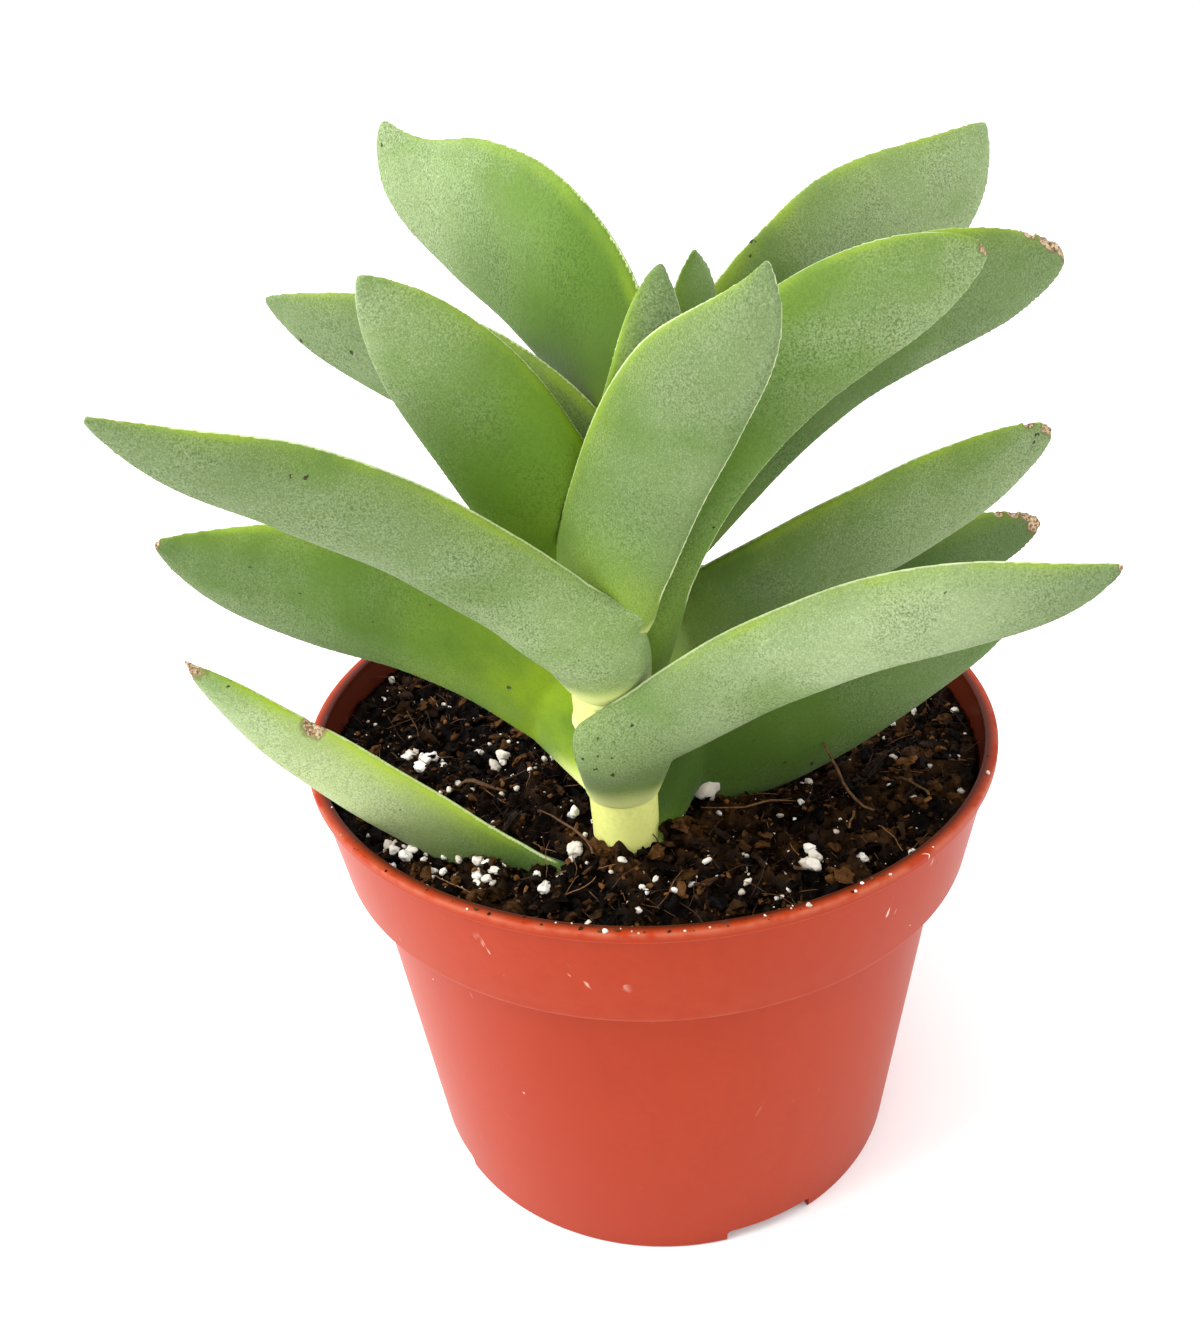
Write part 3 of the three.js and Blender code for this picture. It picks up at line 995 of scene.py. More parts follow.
@dataclass
class PottingMix:
    """Dark peat with bark, strands and pale puffed grains, filling the pot.

    relief is how wide and how deep each size of the bed's crumbs is, and patch how wide its
    lighter patches are. The bits on the pot's lip lie at a mean angle with a spread, and are
    at least as large as the first of their sizes, and larger by up to the second.
    """

    surface: float = 77.0
    radius: float = 53.9
    cells_across: int = 230
    wall_bottom: float = 66.0
    clearance: float = 0.5
    floor_top: float = 4.5
    stem_place: tuple[float, float] = (-4.0, -29.0)
    stem_clearance: float = 5.6
    mounds: tuple[Mound, ...] = (
        Mound(38, -16, 16, 2.4),
        Mound(-26, -42, 9, 1.2),
        Mound(-34, 6, 16, -2.2),
        Mound(14, -30, 10, 0.8),
        Mound(-4, -29, 7, 1.8),
        Mound(-16, -31, 5, -1.4),
        Mound(6, -24, 6, 1.2),
        Mound(10, 22, 20, 1.0),
    )
    heaps: tuple[Heap, ...] = (
        Heap(8.6, -21.2, 1, 0.0, 5.2),
        Heap(1.6, -19.4, 2, 1.0, 1.8),
        Heap(4.1, -26.9, 1, 0.0, 1.9),
        Heap(21.9, -37.8, 5, 1.6, 2.6),
        Heap(30.3, -36.8, 2, 0.8, 1.8),
        Heap(-11.9, -32.7, 3, 1.4, 2.5),
        Heap(-12.5, -23.2, 2, 1.4, 2.0),
        Heap(-18.0, -40.0, 3, 2.0, 2.0),
        Heap(-24.4, -38.2, 11, 2.6, 1.7),
        Heap(-32.0, -34.6, 11, 3.2, 1.5),
        Heap(-38.5, -31.4, 9, 2.6, 2.0),
        Heap(-39.0, -5.4, 5, 2.0, 3.0),
        Heap(-40.8, -1.6, 2, 1.2, 2.4),
        Heap(-29.5, -1.7, 3, 1.6, 2.1),
        Heap(-25.6, -6.7, 3, 1.2, 2.2),
        Heap(-16.7, -7.3, 2, 1.0, 1.9),
        Heap(-2.3, -29.0, 2, 6.4, 1.2),
        Heap(-7.4, -27.0, 2, 1.6, 1.6),
        Heap(32.8, -8.7, 1, 0.0, 2.2),
        Heap(44.0, 3.0, 3, 2.5, 1.9),
        Heap(-2.3, -43.6, 4, 3.5, 1.2),
        Heap(20.0, 12.0, 6, 9.0, 2.2),
        Heap(-12.0, 30.0, 7, 10.0, 2.4),
        Heap(28.0, 34.0, 5, 8.0, 2.0),
    )
    relief: tuple[tuple[float, float], ...] = ((7.0, 4.5), (2.2, 4.6), (0.9, 1.8))
    patch: float = 6.0
    lip_bit_angles: tuple[float, float] = (-95.0, 28.0)
    lip_bit_sizes: tuple[float, float] = (0.25, 0.7)
    lip_grains: int = 20
    lip_crumbs: int = 34
    twigs: tuple[Twig, ...] = (
        Twig((-34.5, -15.4), (-23.3, -16.6), 4.0),
        Twig((-9.9, -24.5), (-9.1, -35.3), 2.2),
        Twig((45.0, -19.5), (50.6, -13.0), 5.0),
        Twig((28.1, -15.0), (28.9, -33.0), 2.0),
        Twig((31.0, -27.0), (38.0, -20.0), 3.4),
        Twig((24.0, -20.0), (33.0, -30.0), 2.4),
        Twig((-20.0, -33.0), (-13.0, -37.5), 2.4),
        Twig((14.0, -33.0), (22.0, -24.0), 2.0),
    )
    peat: Strewing = Strewing("peat_lumps", 1200, (1.0, 3.6), (0.0, 0.6), sunk=0.15, small_ones=2.2)
    dust: Strewing = Strewing("peat_crumbs", 5600, (0.35, 1.4), (0.0, 1.0), sunk=-0.1)
    bark: Strewing = Strewing("bark_chips", 150, (1.2, 4.6), (0.0, 1.0), sunk=0.0, tilt=60.0)
    strands: Strewing = Strewing("root_fibres", 2200, (0.12, 0.8), (0.0, 1.0), sunk=-0.15, tilt=35.0)
    grains: Strewing = Strewing(
        "mineral_grains", 620, (0.25, 1.7), (0.2, 1.0), sunk=0.0, small_ones=2.6, dark_ones=0.7
    )
    lumps: Strewing = Strewing("mineral_lumps", 0, (1.0, 5.0), (0.4, 1.0), sunk=0.0)
    soil: Crumbly = Crumbly("moist_peat", roughness=0.45, specular=0.03)
    wood: Crumbly = Crumbly(
        "bark", roughness=0.5, specular=0.08, dark=(0.006, 0.0025, 0.001, 1.0),
        light=(0.20, 0.085, 0.025, 1.0), stain=(0.012, 0.005, 0.002, 1.0), grain=900.0, relief=0.4,
    )
    fibre: Crumbly = Crumbly(
        "root_fibre", roughness=0.5, specular=0.08, dark=(0.010, 0.004, 0.002, 1.0),
        light=(0.24, 0.12, 0.05, 1.0), stain=(0.03, 0.012, 0.005, 1.0), grain=1500.0, relief=0.05,
    )
    mineral: Crumbly = Crumbly(
        "puffed_mineral", roughness=0.9, specular=0.2, dark=(0.30, 0.22, 0.13, 1.0),
        light=(0.78, 0.75, 0.69, 1.0), stain=(0.50, 0.45, 0.38, 1.0), grain=1500.0, relief=0.1,
    )

    def build(self, pot: Pot) -> None:
        """Models the bed of peat, strews the bits over it and hands them all over."""
        bed = self.bed(pot)
        self.surface_below = surface_of(bed)
        crumbs = [BitMaker.crumb(seed) for seed in range(1, 6)]
        specks = [BitMaker.crumb(seed, 1) for seed in range(6, 10)]
        chips = [BitMaker.chip(seed) for seed in range(1, 6)]
        strands = [BitMaker.fibre(seed) for seed in range(1, 9)]
        grains = [BitMaker.grain(seed) for seed in range(1, 6)]
        lumps = [BitMaker.grain(seed, 3) for seed in range(6, 11)]
        pieces = (
            (bed, self.soil),
            (self.strew(self.peat, crumbs, 11), self.soil),
            (self.strew(self.dust, specks, 16), self.soil),
            (self.strew(self.bark, chips, 12), self.wood),
            (self.strew(self.strands, strands, 13), self.fibre),
            (self.lay_twigs(strands), self.fibre),
            (self.strew(self.grains, grains, 14), self.mineral),
            (self.strew_heaps(self.lumps, lumps, 15), self.mineral),
            (self.strew_lip(pot, grains, self.lip_grains, 17), self.mineral),
            (self.strew_lip(pot, specks, self.lip_crumbs, 18), self.soil),
        )
        for piece, finish in pieces:
            stands_for = ["potting_mix"] if piece is bed else []
            hand_over(piece, finish.make(), stands_for)
        for blank in crumbs + specks + chips + strands + grains + lumps:
            bpy.data.objects.remove(blank)

    def bed(self, pot: Pot) -> bpy.types.Object:
        """The body of peat: a crumbly top, and sides that follow the pot's inner wall."""
        bed = fresh(
            bpy.ops.mesh.primitive_grid_add, "mix_bed",
            x_subdivisions=self.cells_across, y_subdivisions=self.cells_across,
            size=2 * self.radius * MM, location=POT_AXIS + Vector((0, 0, self.surface * MM)),
        )
        settle(bed)
        with editing(bed):
            pick(bed, lambda place: (place - POT_AXIS).xy.length > self.radius * MM)
            bpy.ops.mesh.delete(type="VERT")
        self.round_border(bed)
        for wide, deep in self.relief:
            roughen(bed, wide, deep, direction="Z")
        self.raise_mounds(bed)
        self.draw_walls_down(bed, pot)
        # The bed's tone drifts in patches and falls to the dark end in the hollows below the surface:
        # painted shade there.
        level = in_mm(bed)[:, 2] - self.surface
        paint(bed, "tone", self.patchy_tone(bed) * smooth_ramp(level, -0.8, 2.5))
        return smooth(bed)

    def round_border(self, bed: bpy.types.Object) -> None:
        """Moves the border of the grid out to a true circle."""
        with editing(bed):
            mesh = bmesh.from_edit_mesh(bed.data)
            for vertex in mesh.verts:
                if vertex.is_boundary:
                    arm = (vertex.co - POT_AXIS).xy.normalized() * self.radius * MM
                    vertex.co.xy = POT_AXIS.xy + arm
            bmesh.update_edit_mesh(bed.data)

    def raise_mounds(self, bed: bpy.types.Object) -> None:
        """Adds the soft rises and hollows, and levels the top towards the wall."""
        places = vertex_rows(bed)
        local = in_mm(bed)
        for mound in self.mounds:
            away = (local[:, 0] - mound.x) ** 2 + (local[:, 1] - mound.y) ** 2
            places[:, 2] += mound.height * np.exp(-away / mound.reach**2) * MM
        to_wall = smooth_ramp(np.hypot(local[:, 0], local[:, 1]), self.radius - 7, self.radius)
        places[:, 2] += (self.surface * MM - places[:, 2]) * 0.6 * to_wall
        place_vertices(bed, places)

    def draw_walls_down(self, bed: bpy.types.Object, pot: Pot) -> None:
        """Extrudes the border down the pot's inner wall to its floor, and closes it."""
        levels = (self.wall_bottom, pot.band_bottom_height - 0.5, self.floor_top)
        before = self.radius
        with editing(bed):
            bpy.ops.mesh.select_all(action="DESELECT")
            bpy.ops.mesh.select_non_manifold()
            for level in levels:
                radius = pot.inner_radius(level) - self.clearance
                scale = radius / before
                bpy.ops.mesh.extrude_region_move(TRANSFORM_OT_translate={"value": (0, 0, -MM)})
                bpy.ops.transform.resize(value=(scale, scale, 0.0), center_override=at(0, 0, level))
                before = radius
            bpy.ops.mesh.edge_face_add()
            bpy.ops.mesh.select_all(action="SELECT")
            bpy.ops.mesh.normals_make_consistent(inside=False)

    def patchy_tone(self, obj: bpy.types.Object) -> np.ndarray:
        """A tone for each vertex, which drifts from patch to patch."""
        places = vertex_rows(obj) / (self.patch * MM)
        return np.array([0.12 + 0.35 * noise.noise(Vector(place)) for place in places])

    def ground(self, x: float, y: float) -> Vector | None:
        """Where a plumb line over a place meets the mix, if it does."""
        return self.surface_below.ray_cast(at(x, y, self.surface + 20), Vector((0, 0, -1)))[0]

    def bit(
        self, name: str, blank: bpy.types.Object, into: Matrix, tone: float
    ) -> bpy.types.Object:
        """Copies a bit to its place and gives it a tone from 0 to 1."""
        bit = bpy.data.objects.new(name, blank.data.copy())
        bit.data.transform(into)
        bpy.context.scene.collection.objects.link(bit)
        paint(bit, "tone", np.full(len(bit.data.vertices), tone))
        return bit

    def lay(
        self, strewing: Strewing, blank: bpy.types.Object, spot: tuple[float, float],
        size: float, tone: float, draw: random.Random,
    ) -> bpy.types.Object | None:
        """Lays one copy of a bit on the mix, turned and stretched at random.

        Args:
            strewing: How bits of this kind lie.
            blank: The bit to copy.
            spot: Its place from the pot's axis.
            size: How many times bigger than the blank it is.
            tone: How light it is, from 0 to 1.
            draw: The source of random numbers.

        Returns:
            The copy, or None where there is no mix under it.
        """
        ground = self.ground(*spot)
        if ground is None:
            return None
        lean = math.radians(strewing.tilt)
        turn = Euler((draw.uniform(-lean, lean), draw.uniform(-lean, lean), draw.uniform(0, math.tau)))
        stretch = Matrix.Diagonal((1.0, draw.uniform(0.7, 1.0), draw.uniform(0.7, 1.0), 1.0))
        rest = Matrix.Translation(ground + Vector((0, 0, (0.3 - strewing.sunk) * size * MM)))
        into = rest @ turn.to_matrix().to_4x4() @ Matrix.Scale(size, 4) @ stretch
        return self.bit(strewing.name, blank, into, tone)

    def strew(
        self, strewing: Strewing, blanks: Sequence[bpy.types.Object], seed: int
    ) -> bpy.types.Object:
        """Strews bits of one kind all over the mix, but for where the stem stands."""
        draw = random.Random(seed)
        bits = []
        while len(bits) < strewing.count:
            angle, reach = draw.uniform(0, math.tau), (self.radius - 1.2) * math.sqrt(draw.random())
            spot = (reach * math.cos(angle), reach * math.sin(angle))
            smallest, largest = strewing.sizes
            size = smallest + (largest - smallest) * draw.random() ** strewing.small_ones
            tone = np.interp(draw.random() ** strewing.dark_ones, (0, 1), strewing.tones)
            if math.dist(spot, self.stem_place) > self.stem_clearance:
                bits.append(self.lay(strewing, draw.choice(blanks), spot, size, tone, draw))
        return join(strewing.name, [bit for bit in bits if bit])

    def strew_heaps(
        self, strewing: Strewing, blanks: Sequence[bpy.types.Object], seed: int
    ) -> bpy.types.Object:
        """Lays the heaps of larger grains."""
        draw = random.Random(seed)
        bits = []
        for heap in self.heaps:
            for _ in range(heap.count):
                x = heap.x + draw.uniform(-heap.spread, heap.spread)
                y = heap.y + draw.uniform(-heap.spread, heap.spread)
                size = heap.size * draw.uniform(0.7, 1.1)
                tone = draw.uniform(*strewing.tones)
                bits.append(self.lay(strewing, draw.choice(blanks), (x, y), size, tone, draw))
        return join(strewing.name, [bit for bit in bits if bit])

    def strew_lip(
        self, pot: Pot, blanks: Sequence[bpy.types.Object], count: int, seed: int
    ) -> bpy.types.Object:
        """Leaves a few small bits on the front of the pot's lip."""
        draw = random.Random(seed)
        least, more = self.lip_bit_sizes
        bits = []
        for _ in range(count):
            angle = math.radians(draw.gauss(*self.lip_bit_angles))
            reach = draw.uniform(pot.lip_inner_radius + 0.3, pot.rim_radius - 0.3)
            size = least + more * draw.random() ** 3
            spot = at(reach * math.cos(angle), reach * math.sin(angle), pot.height + 0.1 * size)
            blank = draw.choice(blanks)
            turn = Matrix.Rotation(draw.uniform(0, math.tau), 4, "Z")
            into = Matrix.Translation(spot) @ turn @ Matrix.Scale(size, 4)
            bits.append(self.bit("lip_bits", blank, into, draw.random()))
        return join("lip_bits", bits)

    def lay_twigs(self, blanks: Sequence[bpy.types.Object]) -> bpy.types.Object:
        """Lays the longer strands, each stretched from its start to its end."""
        bits = []
        for number, twig in enumerate(self.twigs):
            start, end = Vector(twig.start), Vector(twig.end)
            spot = self.ground(*(start + end) / 2) + Vector((0, 0, 0.9 * MM))
            run = end - start
            turn = Matrix.Rotation(math.atan2(-run.x, run.y), 4, "Z")
            stretch = Matrix.Diagonal((twig.thickness, run.length / 10, twig.thickness * 0.6, 1.0))
            into = Matrix.Translation(spot) @ turn @ stretch
            tone = 0.35 + 0.08 * (number % 4)
            bits.append(self.bit("twigs", blanks[number % len(blanks)], into, tone))
        return join("twigs", bits)


# ---- Stem ----


@dataclass
class Stem:
    """The short thick stem, its heights counted from the top of the mix."""

    foot: Triple = (-4.0, -29.0, 77.0)
    lean: tuple[float, float] = (-1.5, 1.0)
    lean_height: float = 57.0
    sides: int = 64
    outline: tuple[tuple[float, float], ...] = (
        (-26, 3.4), (-18, 5.1), (-1, 5.15), (2, 5.0), (5, 5.05), (8, 5.1), (10, 5.2), (12, 5.7),
        (18, 6.1), (24, 6.2), (30, 6.2), (36, 5.7), (42, 5.0), (50, 3.8), (55, 2.4), (57, 0.8),
    )
    finish: StemSkin = StemSkin("stem_skin", roughness=0.42, specular=0.4)

    def axis(self, height: float) -> np.ndarray:
        """The middle of the stem at a height, from the pot's axis, in millimetres."""
        share = height / self.lean_height
        x, y, z = self.foot
        return np.array((x + self.lean[0] * share, y + self.lean[1] * share, z + height))

    def radius_at(self, height: float) -> float:
        """The stem's radius at a height."""
        heights, radii = zip(*self.outline)
        return float(np.interp(height, heights, radii))

    def build(self) -> None:
        """Models the stem and paints where it is green and where it is dry."""
        rings = []
        for height, radius in self.outline:
            x, y, z = self.axis(height)
            rings.append(Ring(radius, z, (x, y)))
        stem = raise_rings("stem_core", rings, self.sides, Ends.CAPPED, POT_AXIS)
        apply_modifier(stem, "SUBSURF", levels=2, render_levels=2)
        height = in_mm(stem)[:, 2] - self.foot[2]
        paint(stem, "green", 0.12 + 0.5 * smooth_ramp(height, 24, 44))
        paint(stem, "dry", 0.75 * (1 - smooth_ramp(height, -1, 6)))
        hand_over(smooth(stem), self.finish.make(), ["stem"])


# ---- Leaves ----


@dataclass(frozen=True)
class Mark:
    """A corky mark: its share along the leaf, its share across it, and its size."""

    along: float
    across: float
    size: float


@dataclass(frozen=True)
class Pull:
    """A place near the skin, which way it is drawn, and how far around it the skin follows."""

    place: Triple
    by: Triple
    reach: float


@dataclass(kw_only=True)
class LeafTones:
    """How one leaf is coloured. Shares run from 0 to 1, along the leaf from base to tip.

    tone is painted shade: how much darker the skin is painted near the base and further out,
    where the leaf lies deep in the rosette or in shadow, tone_fade where it turns from one to
    the other, and tip_tone what is added at the tip. rich is a patch of fresh green at the base:
    how strong it is, and between which shares it fades. frost is the bloom all over, and
    lower_frost what is added along the lower margin. blush is the yellow green at the base: how
    strong it is and how far it reaches. upper_blush colours the upper margin, and
    upper_rim_highlight widens its rim line into a painted highlight, where the thick margin
    catches the light. pallor bleaches the middle. marks are corky, and specks are dirt.
    """

    tone: tuple[float, float] = (0.5, 0.1)
    tone_fade: tuple[float, float] = (0.0, 0.55)
    tip_tone: float = 0.0
    rich: Triple = (0.3, 0.1, 0.6)
    frost: float = 0.3
    lower_frost: float = 0.25
    blush: tuple[float, float] = (0.55, 0.35)
    upper_blush: float = 0.25
    upper_rim_highlight: float = 0.4
    pallor: float = 0.0
    marks: tuple[Mark, ...] = ()
    specks: tuple[Mark, ...] = ()


@dataclass
class LeafShape:
    """The form of one sickle-shaped leaf.

    node is the height above the mix where it leaves the stem, side the distance of its blade
    from the stem's axis, to the right of its heading, and start how far along its heading it
    starts. heading and roll turn from base to tip, rise goes through four steps of a smooth
    curve, all in degrees. base is the share of its width that it has at its base, widest the
    share of its length where it is widest, and hook the share of its width by which its tip
    end is carried to the upper edge. flick bends its very tip up, and dip lowers the skin
    behind the tip, from beak_from on. upper and lower widen or narrow the margins at the
    stations. The powers say how full its section and its tip are. base_rounding is the share
    of its length over which its very base narrows, thinning how much thinner it is at its tip,
    and swells and twists are the height of faint waves in its face.
    """

    name: str
    node: float
    start: float
    side: float
    length: float
    width: float
    thick: float
    heading: tuple[float, float]
    rise: tuple[float, float, float, float]
    roll: tuple[float, float]
    base: float
    widest: float
    hook: float
    flick: float = 0.0
    dip: float = 0.0
    beak_from: float = 0.65
    upper: tuple[float, ...] = (1.0, 1.0, 1.0, 1.0, 1.0)
    lower: tuple[float, ...] = (1.0, 1.0, 1.0, 1.0, 1.0)
    stations: tuple[float, ...] = (0.05, 0.25, 0.45, 0.65, 0.85)
    section_power: float = 1.9
    tip_power: float = 2.6
    tip_roundness: float = 0.75
    base_rounding: float = 0.05
    thinning: float = 0.3
    swells: float = 0.22
    twists: float = 0.12
    axis_steps: int = 264

    def directions(self, t: np.ndarray) -> tuple[np.ndarray, np.ndarray, np.ndarray]:
        """The directions along the leaf, across its blade and out of its face.

        Args:
            t: Shares of the leaf's length.

        Returns:
            Three arrays with one direction for each share.
        """
        heading = np.radians(self.heading[0] + (self.heading[1] - self.heading[0]) * t)
        roll = np.radians(self.roll[0] + (self.roll[1] - self.roll[0]) * t)
        a, b, c, d = self.rise
        s = 1.0 - t
        rise = np.radians(s**3 * a + 3 * s * s * t * b + 3 * s * t * t * c + t**3 * d)
        level = np.cos(rise)
        along = np.stack([level * np.cos(heading), level * np.sin(heading), np.sin(rise)], axis=-1)
        right = np.stack([np.sin(heading), -np.cos(heading), np.zeros_like(t)], axis=-1)
        up = np.cross(right, along)
        cos, sin = np.cos(roll)[..., None], np.sin(roll)[..., None]
        return along, up * cos + right * sin, right * cos - up * sin

    def half_sizes(self, t: np.ndarray) -> tuple[np.ndarray, np.ndarray, np.ndarray]:
        """Half the width, half the thickness and the sideways carry, at shares of the length."""
        to_tip = np.clip((t - self.widest) / (1 - self.widest), 0.0, 1.0)
        swell = self.base + (1 - self.base) * np.sin(np.pi / 2 * np.minimum(1.0, t / self.widest))
        taper = (1 - to_tip**self.tip_power) ** self.tip_roundness
        near_base = np.clip(1 - t / self.base_rounding, 0.0, 1.0)
        half_width = self.width / 2 * swell * taper * np.sqrt(1 - 0.9 * near_base**2)
        flesh = (1 - self.thinning * t) * np.maximum(0.3, 1 - to_tip**4)
        half_thick = self.thick / 2 * flesh * np.sqrt(1 - 0.6 * near_base**2)
        beak = np.clip((t - self.beak_from) / (1 - self.beak_from), 0.0, 1.0)
        sag = self.dip * 6.75 * beak**2 * (1 - beak)
        carried = self.width * (self.hook * to_tip**2 + self.flick * beak**4) - sag
        return half_width, np.minimum(half_thick, half_width + 0.05), carried

    def margins(self, t: np.ndarray, upward: np.ndarray) -> np.ndarray:
        """How much wider or narrower a margin is than an even blade's, at shares of the length."""
        high, low = (np.interp(t, self.stations, margin) for margin in (self.upper, self.lower))
        return np.where(upward, high, low)

    def waves(self, t: np.ndarray, wide: np.ndarray) -> np.ndarray:
        """Faint swells across the blade, which fade out at its base."""
        phase = self.node * 1.7
        run = t * self.length
        swell = self.swells * np.sin(run / 3.6 + phase) * np.sin(run / 11 + phase * 2)
        twist = self.twists * np.sin(wide / 4 + run / 7 + phase)
        return (swell + twist) * smooth_ramp(t, 0.1, 0.35) * (1 - smooth_ramp(t, 0.9, 1.0))

    def trace_middle(self, stem: Stem) -> None:
        """Works out the line down the middle of the leaf, from base to tip."""
        level = replace(self, rise=(0.0, 0.0, 0.0, 0.0), roll=(0.0, 0.0))
        along, _, out = level.directions(np.array([0.0]))
        start = stem.axis(self.node) + along[0] * self.start + out[0] * self.side
        t = (np.arange(self.axis_steps) + 0.5) / self.axis_steps
        steps = self.directions(t)[0] * self.length / self.axis_steps
        self.middle = np.vstack([start, start + np.cumsum(steps, axis=0)])
        self.middle_t = np.linspace(0.0, 1.0, self.axis_steps + 1)

    def middle_at(self, t: np.ndarray) -> np.ndarray:
        """Places on the middle line, at shares of the length."""
        return np.stack([np.interp(t, self.middle_t, self.middle[:, i]) for i in range(3)], axis=-1)

    def bend(self, straight: np.ndarray) -> np.ndarray:
        """Bends a straight round bar into the blade.

        Args:
            straight: Places on a bar of radius and length 1 that stands on its base.

        Returns:
            Their places on the blade, in millimetres.
        """
        t = np.clip(straight[:, 2], 0.0, 1.0)
        angle = np.arctan2(straight[:, 1], straight[:, 0])
        radius = np.hypot(straight[:, 0], straight[:, 1])
        half_width, half_thick, carried = self.half_sizes(t)
        power = 2 / self.section_power
        wide = np.sign(np.cos(angle)) * np.abs(np.cos(angle)) ** power * half_width * radius
        wide = wide * self.margins(t, wide > 0)
        deep = np.sign(np.sin(angle)) * np.abs(np.sin(angle)) ** power * half_thick * radius
        _, across, out = self.directions(t)
        wave = self.waves(t, wide)
        return self.middle_at(t) + across * (wide + carried)[:, None] + out * (deep + wave)[:, None]

    def locate(self, places: np.ndarray) -> tuple[np.ndarray, np.ndarray]:
        """Finds the share along the leaf and the share across it of each place on its skin."""
        tree = kdtree.KDTree(len(self.middle))
        for index, place in enumerate(self.middle):
            tree.insert(place, index)
        tree.balance()
        nearest = np.array([tree.find(place)[1] for place in places])
        t = self.middle_t[nearest]
        along = self.directions(t)[0]
        t = t + np.einsum("ij,ij->i", places - self.middle[nearest], along) / self.length
        inside = np.clip(t, 0.0, 1.0)
        across = self.directions(inside)[1]
        half_width, _, carried = self.half_sizes(inside)
        aside = np.einsum("ij,ij->i", places - self.middle_at(inside), across) - carried
        half_width = half_width * self.margins(inside, aside > 0)
        return t, np.clip(aside / np.maximum(half_width, 0.8), -1.3, 1.3)


